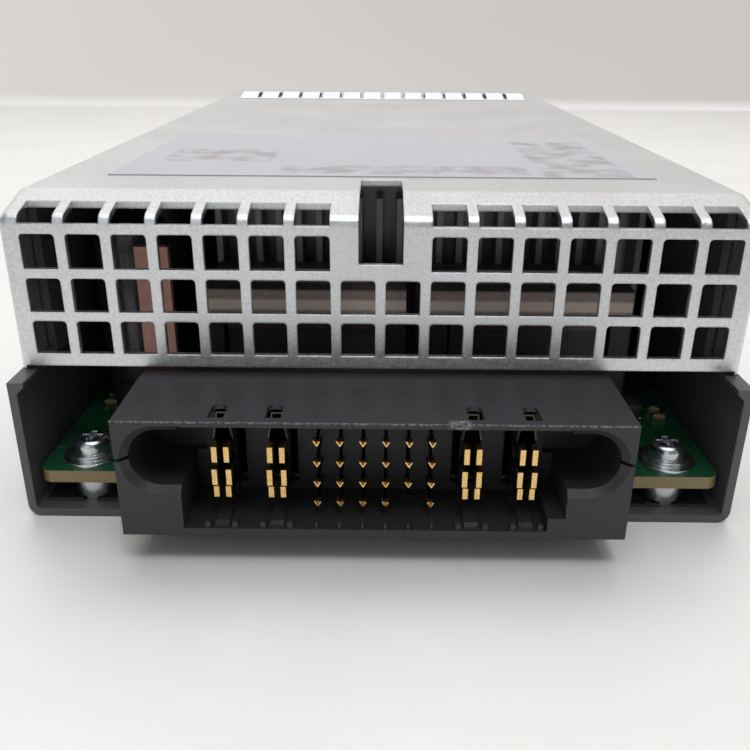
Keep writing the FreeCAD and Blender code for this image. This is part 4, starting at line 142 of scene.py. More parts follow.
@dataclass(frozen=True)
class Finish:
    """A real surface finish, described by how it is made and how it reads.

    Sizes are in millimetres of the real surface. `light` and `dark` are the
    two ends of the fine colour grain; `relief` is how deep the texture is.
    `clouds` is how many broad clouds a metre holds and `cloud_share` how much
    they add to the grain. The `ends` are the noise values that reach the two
    colours and the two roughnesses.
    """

    name: str
    light: str
    dark: str
    metallic: float = 0.0
    roughness: float = 0.5
    swing: float = 0.08
    grain: float = 0.6
    relief: float = 0.01
    relief_size: float = 0.3
    stretch: tuple[float, float, float] = (1.0, 1.0, 1.0)
    ior: float = 1.5
    edge: float = 0.12
    coat: float = 0.0
    clouds: float = 55.0  # about 18 mm each
    cloud_share: float = 0.35
    colour_ends: tuple[float, float] = (0.42, 0.95)
    gloss_ends: tuple[float, float] = (0.3, 0.7)
    glossiest: float = 0.02

    def material(self) -> bpy.types.Material:
        """Material of this finish, made once and shared."""
        known = bpy.data.materials.get(self.name)
        return known if known else self.build()

    def blank(self) -> bpy.types.Material:
        """New material of this name with no nodes in it.

        Returns:
            The new material.
        """
        made = bpy.data.materials.new(self.name)
        made.use_nodes = True
        made.node_tree.nodes.clear()
        return made

    def build(self) -> bpy.types.Material:
        """Lay out the nodes: grain, large clouding, roughness swing and relief.

        Returns:
            The new material.
        """
        made = self.blank()
        tree = made.node_tree
        place = add(tree, "ShaderNodeTexCoord")
        across = add(tree, "ShaderNodeMapping", {"Scale": self.stretch},
                     {"Vector": place.outputs["Object"]})
        grain = add(tree, "ShaderNodeTexNoise",
                    {"Scale": METRE / self.grain, "Detail": 4.0, "Roughness": 0.6},
                    {"Vector": across.outputs[0]})
        cloud = add(tree, "ShaderNodeTexNoise", {"Scale": self.clouds, "Detail": 3.0},
                    {"Vector": place.outputs["Object"]})
        share = add(tree, "ShaderNodeMath", {"operation": "MULTIPLY_ADD", 1: self.cloud_share},
                    {0: cloud.outputs["Fac"], 2: grain.outputs["Fac"]})
        fade = add(tree, "ShaderNodeMapRange",
                   {"From Min": self.colour_ends[0], "From Max": self.colour_ends[1]},
                   {"Value": share.outputs[0]})
        tint = add(tree, "ShaderNodeMix",
                   {"data_type": "RGBA", UNDER: linear(self.dark), OVER: linear(self.light)},
                   {SHARE: fade.outputs[0]})
        colour = self.detail(tree, place, tint.outputs[MIXED])
        swing = add(tree, "ShaderNodeMapRange",
                    {"To Min": max(self.glossiest, self.roughness - self.swing),
                     "To Max": min(1.0, self.roughness + self.swing),
                     "From Min": self.gloss_ends[0], "From Max": self.gloss_ends[1]},
                    {"Value": grain.outputs["Fac"]})
        dents = add(tree, "ShaderNodeTexNoise", {"Scale": METRE / self.relief_size, "Detail": 3.0},
                    {"Vector": across.outputs[0]})
        corner = add(tree, "ShaderNodeBevel", {"samples": 4, "Radius": self.edge * MM})
        bump = add(tree, "ShaderNodeBump", {"Strength": 1.0, "Distance": self.relief * MM},
                   {"Height": dents.outputs["Fac"], "Normal": corner.outputs[0]})
        shader = add(tree, "ShaderNodeBsdfPrincipled",
                     {"Metallic": self.metallic, "IOR": self.ior, "Coat Weight": self.coat},
                     {"Base Color": colour, "Roughness": swing.outputs[0],
                      "Normal": bump.outputs[0]})
        self.extra(shader)
        add(tree, "ShaderNodeOutputMaterial", None, {"Surface": shader.outputs[0]})
        return made

    def detail(self, tree: Tree, place: Node, colour: Socket) -> Socket:
        """Place for marks that only some finishes have.

        Args:
            tree: Node tree of the material.
            place: Texture coordinate node.
            colour: Colour so far.

        Returns:
            The colour with the marks added.
        """
        return colour

    def extra(self, shader: Node) -> None:
        """Place for shader settings that only some finishes need."""


@dataclass(frozen=True)
class CoatedSteel(Finish):
    """Black coated sheet steel whose sheared edges at the open end are greyed, partly as uncoated
    metal and partly as a painted highlight.
    """

    # Grey of the sheared front edge: partly uncoated metal, partly a painted highlight.
    bare_edge_and_highlight: str = "#5c5c5a"
    bare_edge_and_highlight_share: float = 0.35
    cut: tuple[float, float] = (-0.2 * MM, 0.12 * MM)
    fall: float = 0.15 * MM

    def detail(self, tree: Tree, place: Node, colour: Socket) -> Socket:
        """Grey the sheared front edge: partly uncoated metal, partly a painted highlight.

        Args:
            tree: Node tree of the material.
            place: Texture coordinate node.
            colour: Colour so far.

        Returns:
            The colour with the marks added.
        """
        axes = add(tree, "ShaderNodeSeparateXYZ", None, {0: place.outputs["Object"]})
        cut_edge = window(tree, axes.outputs["Y"], *self.cut, self.fall)
        rub = add(tree, "ShaderNodeMath", {"operation": "MULTIPLY", 1: self.bare_edge_and_highlight_share},
                  {0: cut_edge})
        # Greys the cut edge: uncoated metal plus a painted highlight line.
        bared = add(tree, "ShaderNodeMix", {"data_type": "RGBA", OVER: linear(self.bare_edge_and_highlight)},
                    {SHARE: rub.outputs[0], UNDER: colour})
        return bared.outputs[MIXED]


@dataclass(frozen=True)
class Laminate(Finish):
    """Glass-fibre board: green mask above and below, tan resin at the sawn edges.

    The tracks are a brick pattern whose scale puts its rows 0.6 mm apart.
    """

    resin: str = "#84744d"
    mask: tuple[str, str] = ("#184a31", "#1d5638")
    gap: str = "#103522"
    gap_share: float = 0.02
    tracks: float = 420.0
    printed: float = 0.5

    def detail(self, tree: Tree, place: Node, colour: Socket) -> Socket:
        """Tan edges by the surface direction, darker lines where copper runs.

        Args:
            tree: Node tree of the material.
            place: Texture coordinate node.
            colour: Colour so far.

        Returns:
            The colour with the marks added.
        """
        facing = add(tree, "ShaderNodeSeparateXYZ", None, {0: place.outputs["Normal"]})
        flat = add(tree, "ShaderNodeMath", {"operation": "ABSOLUTE"}, {0: facing.outputs["Z"]})
        side = add(tree, "ShaderNodeMapRange",
                   {"From Min": 0.4, "From Max": 0.6, "To Min": 1.0, "To Max": 0.0},
                   {"Value": flat.outputs[0]})
        tracks = add(tree, "ShaderNodeTexBrick",
                     {"Scale": self.tracks, "Mortar Size": self.gap_share,
                      "Color1": linear(self.mask[0]), "Color2": linear(self.mask[1]),
                      "Mortar": linear(self.gap)}, {"Vector": place.outputs["Object"]})
        etched = add(tree, "ShaderNodeMix", {"data_type": "RGBA", SHARE: self.printed},
                     {UNDER: colour, OVER: tracks.outputs[0]})
        sawn = add(tree, "ShaderNodeMix", {"data_type": "RGBA", OVER: linear(self.resin)},
                   {SHARE: side.outputs[0], UNDER: etched.outputs[MIXED]})
        return sawn.outputs[MIXED]


@dataclass(frozen=True)
class WornPlug(Finish):
    """Dark glass-filled connector plastic with a pale line along its upper mouth edge, partly worn
    and partly painted highlight.

    `front` and `crest` are where that edge lies along y and z. The marks run
    from `ahead` of it and `over` it inwards: the pale line, partly worn and
    partly painted highlight, by `line`, the chip by `chip_depth` and
    `chip_drop`. Each `fall` is how softly they end, as `chip_foot` is below the chip.
    """

    # Pale grey of the worn chip and dust; on the mouth edge line it is partly a painted highlight.
    rubbed: str = "#8c8c90"
    front: float = -9.3 * MM
    crest: float = 17.7 * MM
    ahead: float = 0.1 * MM
    over: float = 0.2 * MM
    line: float = 0.08 * MM
    line_fall: float = 0.12 * MM
    chip: tuple[float, float] = (7.6 * MM, 9.3 * MM)
    chip_depth: float = 0.7 * MM
    chip_drop: float = 0.5 * MM
    chip_fall: float = 0.5 * MM
    chip_foot: float = 0.1 * MM
    specks: float = 2600.0  # a metre, about 0.4 mm each

    def detail(self, tree: Tree, place: Node, colour: Socket) -> Socket:
        """Pale line along the upper mouth edge, partly worn and partly painted highlight; one
        flaked chip there, and dust all over.

        Args:
            tree: Node tree of the material.
            place: Texture coordinate node.
            colour: Colour so far.

        Returns:
            The colour with the marks added.
        """
        axes = add(tree, "ShaderNodeSeparateXYZ", None, {0: place.outputs["Object"]})
        speck = add(tree, "ShaderNodeTexNoise", {"Scale": self.specks, "Detail": 5.0},
                    {"Vector": place.outputs["Object"]})
        near_mouth = window(tree, axes.outputs["Y"], self.front - self.ahead,
                            self.front + self.line, self.line_fall)
        near_crest = window(tree, axes.outputs["Z"], self.crest - self.line,
                            self.crest + self.over, self.line_fall)
        both = add(tree, "ShaderNodeMath", {"operation": "MULTIPLY"},
                   {0: near_mouth, 1: near_crest})
        patchy = add(tree, "ShaderNodeMapRange",
                     {"From Min": 0.42, "From Max": 0.60, "To Max": 0.85},
                     {"Value": speck.outputs["Fac"]})
        line = add(tree, "ShaderNodeMath", {"operation": "MULTIPLY"},
                   {0: both.outputs[0], 1: patchy.outputs[0]})
        along = window(tree, axes.outputs["X"], *self.chip, self.chip_fall)
        deep = window(tree, axes.outputs["Y"], self.front - self.ahead,
                      self.front + self.chip_depth, self.chip_fall)
        high = window(tree, axes.outputs["Z"], self.crest - self.chip_drop,
                      self.crest + self.over, self.chip_foot)
        flake = add(tree, "ShaderNodeMath", {"operation": "MULTIPLY"}, {0: along, 1: deep})
        for mask in (high, patchy.outputs[0]):
            flake = add(tree, "ShaderNodeMath", {"operation": "MULTIPLY"},
                        {0: flake.outputs[0], 1: mask})
        dust = add(tree, "ShaderNodeTexNoise", {"Scale": self.specks, "Detail": 1.0},
                   {"Vector": place.outputs["Object"]})
        motes = add(tree, "ShaderNodeMapRange",
                    {"From Min": 0.74, "From Max": 0.82, "To Max": 0.35},
                    {"Value": dust.outputs["Fac"]})
        wear_and_highlight = line
        for mark in (flake, motes):
            wear_and_highlight = add(tree, "ShaderNodeMath", {"operation": "MAXIMUM"},
                       {0: wear_and_highlight.outputs[0], 1: mark.outputs[0]})
        # Mixes in the pale grey: worn chip and dust, and on the edge line partly a painted
        # highlight.
        worn = add(tree, "ShaderNodeMix", {"data_type": "RGBA", OVER: linear(self.rubbed)},
                   {SHARE: wear_and_highlight.outputs[0], UNDER: colour})
        return worn.outputs[MIXED]


@dataclass(frozen=True)
class ContactStrip(Finish):
    """Copper alloy contacts: gold flashed at the mating tips, dull tin further back."""

    base: str = "#4a4743"
    tips: float = -5.75 * MM
    fall: float = 0.5 * MM

    def detail(self, tree: Tree, place: Node, colour: Socket) -> Socket:
        """Dull tin behind the tips.

        Args:
            tree: Node tree of the material.
            place: Texture coordinate node.
            colour: Colour so far.

        Returns:
            The colour with the marks added.
        """
        axes = add(tree, "ShaderNodeSeparateXYZ", None, {0: place.outputs["Object"]})
        behind = add(tree, "ShaderNodeMapRange",
                     {"From Min": self.tips, "From Max": self.tips + self.fall},
                     {"Value": axes.outputs["Y"]})
        tinned = add(tree, "ShaderNodeMix", {"data_type": "RGBA", OVER: linear(self.base)},
                     {SHARE: behind.outputs[0], UNDER: colour})
        return tinned.outputs[MIXED]


@dataclass(frozen=True)
class WoundBand(Finish):
    """Choke former: brown tape with a pale painted highlight along its lower winding turn and
    painted shade below and above the band.
    """

    # Painted shade below and above the band.
    shade: str = "#2b2928"
    # Painted highlight along the lower winding turn.
    streak: str = "#efdccf"
    low: float = 20.2 * MM
    turn: tuple[float, float] = (21.4 * MM, 22.3 * MM)
    top: float = 23.6 * MM
    fall: float = 0.5 * MM

    def detail(self, tree: Tree, place: Node, colour: Socket) -> Socket:
        """Painted highlight across the turn, painted shade beyond both ends of the band.

        Args:
            tree: Node tree of the material.
            place: Texture coordinate node.
            colour: Colour so far.

        Returns:
            The colour with the marks added.
        """
        axes = add(tree, "ShaderNodeSeparateXYZ", None, {0: place.outputs["Object"]})
        # Painted highlight: pale colour across the turn.
        pale = window(tree, axes.outputs["Z"], *self.turn, self.fall)
        painted_highlight_mix = add(tree, "ShaderNodeMix", {"data_type": "RGBA", OVER: linear(self.streak)},
                       {SHARE: pale, UNDER: colour})
        # Painted shade outside the band from `low` to `top`.
        unshaded_band = window(tree, axes.outputs["Z"], self.low, self.top, self.fall)
        dark = add(tree, "ShaderNodeMath", {"operation": "SUBTRACT", 0: 1.0}, {1: unshaded_band})
        shaded = add(tree, "ShaderNodeMix", {"data_type": "RGBA", OVER: linear(self.shade)},
                     {SHARE: dark.outputs[0], UNDER: painted_highlight_mix.outputs[MIXED]})
        return shaded.outputs[MIXED]


@dataclass(frozen=True)
class LabelStock(Finish):
    """Matt label stock with soft blank grey panels and no lettering.

    Each panel is its lowest x and y and its highest x and y.
    """

    ink: str = "#8d8486"
    ink_share: float = 0.75
    fall: float = 1.0 * MM
    breaks: float = 260.0  # a metre, about 4 mm each
    panels: tuple[tuple[float, float, float, float], ...] = (
        (-30.5 * MM, 32.0 * MM, -16.0 * MM, 43.0 * MM),
        (-13.0 * MM, 22.0 * MM, 19.0 * MM, 28.0 * MM),
        (21.5 * MM, 21.0 * MM, 32.0 * MM, 54.0 * MM))

    def detail(self, tree: Tree, place: Node, colour: Socket) -> Socket:
        """Panels whose grey is broken up as worn print is.

        Args:
            tree: Node tree of the material.
            place: Texture coordinate node.
            colour: Colour so far.

        Returns:
            The colour with the marks added.
        """
        axes = add(tree, "ShaderNodeSeparateXYZ", None, {0: place.outputs["Object"]})
        broken = add(tree, "ShaderNodeTexNoise", {"Scale": self.breaks, "Detail": 3.0},
                     {"Vector": place.outputs["Object"]})
        share = add(tree, "ShaderNodeMapRange",
                    {"From Min": 0.40, "From Max": 0.62, "To Max": self.ink_share},
                    {"Value": broken.outputs["Fac"]}).outputs[0]
        for left, near, right, far in self.panels:
            along = window(tree, axes.outputs["X"], left, right, self.fall)
            deep = window(tree, axes.outputs["Y"], near, far, self.fall)
            mask = add(tree, "ShaderNodeMath", {"operation": "MULTIPLY"}, {0: along, 1: deep})
            mask = add(tree, "ShaderNodeMath", {"operation": "MULTIPLY"},
                       {0: mask.outputs[0], 1: share})
            printed = add(tree, "ShaderNodeMix", {"data_type": "RGBA", OVER: linear(self.ink)},
                          {SHARE: mask.outputs[0], UNDER: colour})
            colour = printed.outputs[MIXED]
        return colour


@dataclass(frozen=True)
class ClearMoulding(Finish):
    """Clear moulded plastic that passes light."""

    passes: float = 0.85

    def extra(self, shader: Node) -> None:
        """Let light through."""
        shader.inputs["Transmission Weight"].default_value = self.passes


# Satin zinc-nickel plate on cold rolled sheet: fine sparkling grain, soft broad highlights.
SATIN_PLATE = Finish("satin_plated_sheet_steel", "#eff1f3", "#c8c9cb", metallic=1.0, roughness=0.38,
                     swing=0.10, grain=0.36, relief=0.014, relief_size=0.34, edge=0.30)
# Black electrocoat on steel: low sheen, faint orange peel.
# Its sheared front edge is greyed, partly as uncoated metal and partly as a painted highlight.
BLACK_COAT = CoatedSteel("black_coated_sheet_steel", "#545456", "#434345", roughness=0.40,
                         swing=0.08, grain=0.5, relief=0.006, relief_size=0.9, edge=0.25)
# Bright zinc plate on screws and rivets: sharp highlights, slight clouding.
ZINC = Finish("bright_zinc_plated_steel", "#d9dcde", "#b9bdc1", metallic=1.0, roughness=0.20,
              swing=0.06, grain=0.5, relief=0.004, relief_size=0.3, edge=0.2)
# Nickel plate on washers and pillars: brighter and smoother than the zinc.
BRIGHT = Finish("bright_nickel_plated_steel", "#e2e3e4", "#c6c9cb", metallic=1.0, roughness=0.22,
                swing=0.05, grain=0.7, relief=0.003, relief_size=0.4, edge=0.12)
# White tin bloom on the finger strip: the row of clean bright dashes at the far end of the cover.
FINGER = Finish("white_tinned_finger_strip", "#f4f5f6", "#e2e3e5", metallic=0.35, roughness=0.48,
                swing=0.06, relief=0.003)
# Stainless spring strip: near mirror, so the latch spring picks up bright streaks.
SPRING = Finish("bright_spring_strip", "#f6f6f5", "#e8e8e6", metallic=1.0, roughness=0.26,
                swing=0.05, grain=0.6, relief=0.003, relief_size=0.8, edge=0.05)
# Green solder mask: smooth, wet looking.
BOARD = Laminate("green_masked_glass_fibre", "#1c5236", "#143f28", roughness=0.28, swing=0.06,
                 grain=0.6, relief=0.006, relief_size=0.4, coat=0.2, edge=0.05)
# Glass-filled polyester: dark, even, a fine matt grain.
# Its pale upper mouth edge line is partly worn and partly a painted highlight.
PLUG = WornPlug("glass_filled_plug_plastic", "#303033", "#27272a", roughness=0.46, swing=0.08,
                grain=0.35, relief=0.008, relief_size=0.25, edge=0.10)
# Selective gold over copper alloy: warm bright tips against the dark cavity.
GOLD = ContactStrip("gold_flashed_contact_strip", "#ffe2a0", "#dcab60", metallic=1.0,
                    roughness=0.24, swing=0.08, grain=0.3, relief=0.003, relief_size=0.2, edge=0.05)
# Moulded nylon and polycarbonate blends of the inlet and handle: black, with a soft even texture.
BLACK_MOULDING = Finish("fine_textured_black_plastic", "#232325", "#19191b", roughness=0.46,
                        grain=0.4, relief=0.010, relief_size=0.3, edge=0.15)
# Glass-filled fan plastic: a shade greyer and coarser than the inlet.
FAN_MOULDING = Finish("glass_filled_fan_plastic", "#2a2a2b", "#1d1d1f", roughness=0.50, grain=0.5,
                      relief=0.012, relief_size=0.4, edge=0.10)
# Dark red touch point: the one strong colour at the handle end.
LATCH_MOULDING = Finish("smooth_dark_red_plastic", "#8c2b27", "#741f1d", roughness=0.33, grain=0.6,
                        relief=0.004, relief_size=0.5, edge=0.18)
# Nickelled brass pins and clips: slightly warm against the zinc.
NICKEL_BRASS = Finish("nickel_plated_brass", "#d8d3c8", "#bcb6a9", metallic=1.0, roughness=0.25,
                      grain=0.4, relief=0.003)
# Clear light guide: a small glassy dot on the panel.
LENS = ClearMoulding("clear_moulded_light_guide", "#e9f4ea", "#d8e8da", roughness=0.12,
                     relief=0.002, ior=1.58)
# Sintered bronze bearings: matt brown rings behind the hub.
BRONZE = Finish("sintered_bronze", "#a8763f", "#82592c", metallic=1.0, roughness=0.45, grain=0.2)
# Stacked steel laminations: grey with fine lines across the stack.
LAMINATION = Finish("stacked_steel_laminations", "#6a6a6c", "#4b4b4d", metallic=1.0, roughness=0.42,
                    grain=0.5, stretch=(1.0, 8.0, 1.0))
# Sintered ferrite: dead matt charcoal of cores and the rotor magnet.
FERRITE = Finish("sintered_ferrite", "#3b3b3d", "#2b2b2d", roughness=0.5, grain=0.3, relief=0.01)
# Chromed wire: thin bright rings over the dark fan.
GUARD_WIRE = Finish("chromed_wire", "#d5d6d7", "#bcbec0", metallic=1.0, roughness=0.18, grain=0.6)
# Bare copper strap with a dull warm tarnish.
COPPER = Finish("tarnished_copper_strap", "#d6a598", "#b88678", metallic=0.35, roughness=0.46,
                swing=0.1, grain=1.2, relief=0.006, relief_size=0.8)
# Taped former: the brownish band seen through the third row of vents.
# It carries a painted highlight streak and painted shade below and above the band.
BOBBIN = WoundBand("taped_choke_former", "#b9a69c", "#94837a", roughness=0.5, grain=0.8,
                   relief=0.01, relief_size=0.5)
# Varnished foil: dark brown, faintly shiny, below the band.
VARNISH = Finish("varnished_foil_winding", "#544844", "#3c3330", metallic=0.2, roughness=0.4,
                 grain=0.8)
# Anodised extrusion: fins that read as soft grey stripes in the dark.
ANODISED = Finish("clear_anodised_extrusion", "#98989b", "#78787b", metallic=0.5, roughness=0.36,
                  swing=0.06, grain=0.4, stretch=(6.0, 6.0, 0.6), relief=0.006, relief_size=0.3)
# Device epoxy: flat dark grey of packages.
EPOXY = Finish("moulded_device_epoxy", "#3c3c3e", "#2e2e30", roughness=0.48, grain=0.25,
               relief=0.01)
# Capacitor sleeve: smooth dark slate grey with a glossy skin.
SLEEVE = Finish("shrink_sleeve", "#3a3d42", "#2c2e33", roughness=0.3, grain=2.0, relief=0.01,
                relief_size=2.0, coat=0.2)
# Winding tape: amber yellow with a slight gloss.
TAPE = Finish("polyester_winding_tape", "#d8ae3d", "#c0932c", roughness=0.28, grain=1.5,
              relief=0.02, relief_size=1.5, coat=0.2)
# Core coating and enamel: deep green rings wound with coppery wire.
CORE_COAT = Finish("epoxy_coated_core", "#26503c", "#1c3f2e", roughness=0.42, grain=0.6)
ENAMEL = Finish("enamelled_copper_wire", "#b0592a", "#8e4019", metallic=0.7, roughness=0.25,
                grain=0.8, relief=0.003, coat=0.3)
# Moulded capacitor box: opaque warm yellow.
YELLOW_BOX = Finish("moulded_yellow_box", "#d9b23a", "#c59d2b", roughness=0.38, grain=0.8)
# Fuse tube: clean off-white.
CERAMIC = Finish("white_ceramic_tube", "#e6e3da", "#d4d1c7", roughness=0.3, grain=0.5)
# Insulating film: dark, smooth, slightly wavy.
FILM = Finish("dark_insulating_film", "#3a3a3d", "#2f2f32", roughness=0.3, grain=1.5, relief=0.01,
              relief_size=3.0)
# Wire jacket: soft black.
JACKET = Finish("soft_wire_jacket", "#262628", "#1c1c1e", roughness=0.45, grain=0.6)
# Natural nylon: creamy white of the bobbin and the fan's plug.
NYLON = Finish("natural_nylon", "#ded9cb", "#cfc9b9", roughness=0.42, grain=0.6)
# Label stock: matt, pale cool grey with soft grey panels.
LABEL = LabelStock("blank_matt_label", "#b9b9bd", "#afafb3", roughness=0.44, swing=0.05, grain=2.0,
                   relief=0.003, relief_size=1.0, edge=0.02)
# Tinned ends and legs: small bright specks on the green board.
SOLDER = Finish("tinned_solder", "#cfd1d2", "#aeb1b3", metallic=1.0, roughness=0.3, grain=0.4)
# Chip ceramic: dull tan bodies between the bright ends.
CERAMIC_CHIP = Finish("fired_chip_ceramic", "#a58a63", "#8b724d", roughness=0.4, grain=0.3)


# ------------------------------------------------------------------ surfaces
def quads(rows: int, columns: int, wrap_columns: bool) -> np.ndarray:
    """Faces of a grid of points numbered row by row.

    Args:
        rows: Points along the first parameter.
        columns: Points along the second parameter.
        wrap_columns: True where the last column joins the first.

    Returns:
        Array of four point numbers for each face.
    """
    wide = columns if wrap_columns else columns - 1
    i, j = np.meshgrid(np.arange(rows - 1), np.arange(wide), indexing="ij")
    k = (j + 1) % columns
    return np.stack([i * columns + j, i * columns + k, (i + 1) * columns + k,
                     (i + 1) * columns + j], axis=-1).reshape(-1, 4)


def linked(name: str, data: bpy.types.ID) -> Piece:
    """New object of a mesh, lamp or camera, linked to the scene.

    Args:
        name: Name of the object.
        data: What it holds.

    Returns:
        The new object.
    """
    made = bpy.data.objects.new(name, data)
    bpy.context.scene.collection.objects.link(made)
    return made


def put(name: str, points: np.ndarray, faces: np.ndarray) -> Piece:
    """Make a closed piece from points and faces, merged and facing outwards.

    Args:
        name: Name of the piece.
        points: Array of n by 3 positions in metres.
        faces: Array of four point numbers for each face.

    Returns:
        The new object, shaded smooth and linked to the scene.
    """
    mesh = bpy.data.meshes.new(name)
    mesh.from_pydata(points.reshape(-1, 3).tolist(), [], faces.tolist())
    shape = bmesh.new()
    shape.from_mesh(mesh)
    bmesh.ops.remove_doubles(shape, verts=shape.verts, dist=WELD)
    bmesh.ops.recalc_face_normals(shape, faces=shape.faces)
    shape.to_mesh(mesh)
    shape.free()
    mesh.polygons.foreach_set("use_smooth", [True] * len(mesh.polygons))
    mesh.update()
    return linked(name, mesh)


def sharpened(wave: np.ndarray, power: float) -> np.ndarray:
    """Cosine or sine raised to a power with its sign kept."""
    return np.sign(wave) * np.abs(wave) ** power


def pillow(size: Sequence[float], square: float, rows: int = 9, columns: int = 16) -> np.ndarray:
    """Rounded block: a superellipsoid whose cosines and sines are raised to a small power.

    Args:
        size: Full lengths along x, y and z.
        square: Power; near zero gives a sharp block, one gives an ellipsoid.
        rows: Points from pole to pole.
        columns: Points round the waist.

    Returns:
        Grid of rows by columns by 3 positions about the origin.
    """
    around = np.linspace(-math.pi, math.pi, columns, endpoint=False) + math.pi / columns
    v, u = np.meshgrid(np.linspace(-math.pi / 2, math.pi / 2, rows), around, indexing="ij")
    waist = sharpened(np.cos(v), square)
    return np.stack([waist * sharpened(np.cos(u), square) * size[0] / 2,
                     waist * sharpened(np.sin(u), square) * size[1] / 2,
                     sharpened(np.sin(v), square) * size[2] / 2], axis=-1)


def pillows(name: str, places: np.ndarray, size: Sequence[float], square: float) -> Piece:
    """One piece made of equal rounded blocks at several places.

    Args:
        name: Name of the piece.
        places: Array of n by 3 centres.
        size: Full lengths of each block.
        square: Power of the superellipsoid.

    Returns:
        The new object.
    """
    block = pillow(size, square)
    rows, columns = block.shape[:2]
    points = places[:, None, None, :] + block[None]
    faces = quads(rows, columns, True)
    steps = np.arange(len(places))[:, None, None] * rows * columns
    return put(name, points, (faces[None] + steps).reshape(-1, 4))


def turned(name: str, radii: np.ndarray, heights: np.ndarray, centre: Sequence[float],
           columns: int = 48) -> Piece:
    """Surface of revolution about +Y: each profile point travels round a circle.

    Args:
        name: Name of the piece.
        radii: Distances of the profile from the axis, zero at both ends.
        heights: Positions of the profile along +Y.
        centre: Point on the axis.
        columns: Points round the axis.

    Returns:
        The new object.
    """
    angle = np.linspace(0, 2 * math.pi, columns, endpoint=False)
    points = np.stack([np.outer(radii, np.cos(angle)), np.repeat(heights[:, None], columns, 1),
                       np.outer(radii, np.sin(angle))], axis=-1) + np.asarray(centre)
    return put(name, points, quads(len(radii), columns, True))


def framed(name: str, path: np.ndarray, wide: float, tall: float, rise: float,
           steps: int = 7) -> Piece:
    """Closed raised bead that follows a flat loop in the XZ plane.

    The section is a half ellipse: out from the loop by wide times cosine, and
    along +Y by tall times sine, plus a flat back.

    Args:
        name: Name of the piece.
        path: Array of n by 2 loop points, x and z.
        wide: Half width of the bead.
        tall: Height of the bead.
        rise: Position of the bead's back along Y.
        steps: Points across the section.

    Returns:
        The new object.
    """
    step = np.roll(path, -1, axis=0) - np.roll(path, 1, axis=0)
    step /= np.linalg.norm(step, axis=1, keepdims=True)
    out = np.stack([step[:, 1], -step[:, 0]], axis=-1)
    turn = np.linspace(0, math.pi, steps)
    section = np.stack([np.cos(turn) * wide, np.sin(turn) * tall], axis=-1)
    points = np.zeros((len(path), len(section), 3))
    points[..., 0] = path[:, None, 0] + out[:, None, 0] * section[None, :, 0]
    points[..., 2] = path[:, None, 1] + out[:, None, 1] * section[None, :, 0]
    points[..., 1] = rise + section[None, :, 1]
    grid = np.concatenate([points, points[:1]], axis=0)
    return put(name, grid, quads(grid.shape[0], grid.shape[1], True))


def rounded_loop(low: Sequence[float], high: Sequence[float], corner: float,
                 steps: int = 6) -> np.ndarray:
    """Loop of points round a rectangle with quarter circle corners.

    Args:
        low: Lowest x and z.
        high: Highest x and z.
        corner: Corner radius.
        steps: Points in each corner.

    Returns:
        Array of n by 2 points.
    """
    centres = np.array([[high[0] - corner, high[1] - corner], [low[0] + corner, high[1] - corner],
                        [low[0] + corner, low[1] + corner], [high[0] - corner, low[1] + corner]])
    starts = np.arange(4) * math.pi / 2
    sweep = np.linspace(0, math.pi / 2, steps)
    angle = starts[:, None] + sweep[None]
    arcs = centres[:, None, :] + corner * np.stack([np.cos(angle), np.sin(angle)], axis=-1)
    return arcs.reshape(-1, 2)


# ------------------------------------------------------------------ the assembly
class Body(Enum):
    """Rigid bodies that carry fine pieces."""

    SUPPLY = "supply"
    HANDLE = "handle"
    LATCH = "latch"


@dataclass
class SubAssembly:
    """A group of solids that are dressed together, with their fine pieces."""

    dress: dict[str, Finish] = field(default_factory=dict)

    def make(self) -> None:
        """Dress the solids, then add the fine pieces."""
        for node, finish in self.dress.items():
            self.coat(frame["nodes"][node], finish)
            LOG.info("dressed %s in %s", node, finish.name)
        for piece in self.details():
            LOG.info("added %s", piece.name)

    def details(self) -> Iterable[Piece]:
        """Fine pieces of this sub-assembly; none by default."""
        return ()

    @staticmethod
    def coat(target: Piece, finish: Finish) -> None:
        """Give every material slot of an object one finish.

        Args:
            target: Solid or fine piece.
            finish: Finish for all of it.
        """
        if not target.material_slots:
            target.data.materials.append(finish.material())
        for holder in target.material_slots:
            holder.material = finish.material()

    def add_piece(self, piece: Piece, finish: Finish, slot: str,
                  body: Body = Body.SUPPLY) -> Piece:
        """Dress a new piece and let it ride on its body.

        Args:
            piece: Object that is already in place.
            finish: Finish of the piece.
            slot: Material slot of the record that it belongs to; not used.
            body: Body that carries it.

        Returns:
            The same piece.
        """
        self.coat(piece, finish)
        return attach(piece, body.value)


@dataclass
class Case(SubAssembly):
    """Tray, cover, label, front panel, air baffle and the spring fingers."""

    dress: dict[str, Finish] = field(default_factory=lambda: {
        "chassis_tray": BLACK_COAT, "top_cover": SATIN_PLATE, "insulating_liner": FILM,
        "case_screws": ZINC, "rating_label": LABEL, "emi_finger_strip": FINGER,
        "front_panel": BLACK_COAT, "air_baffle": FILM})


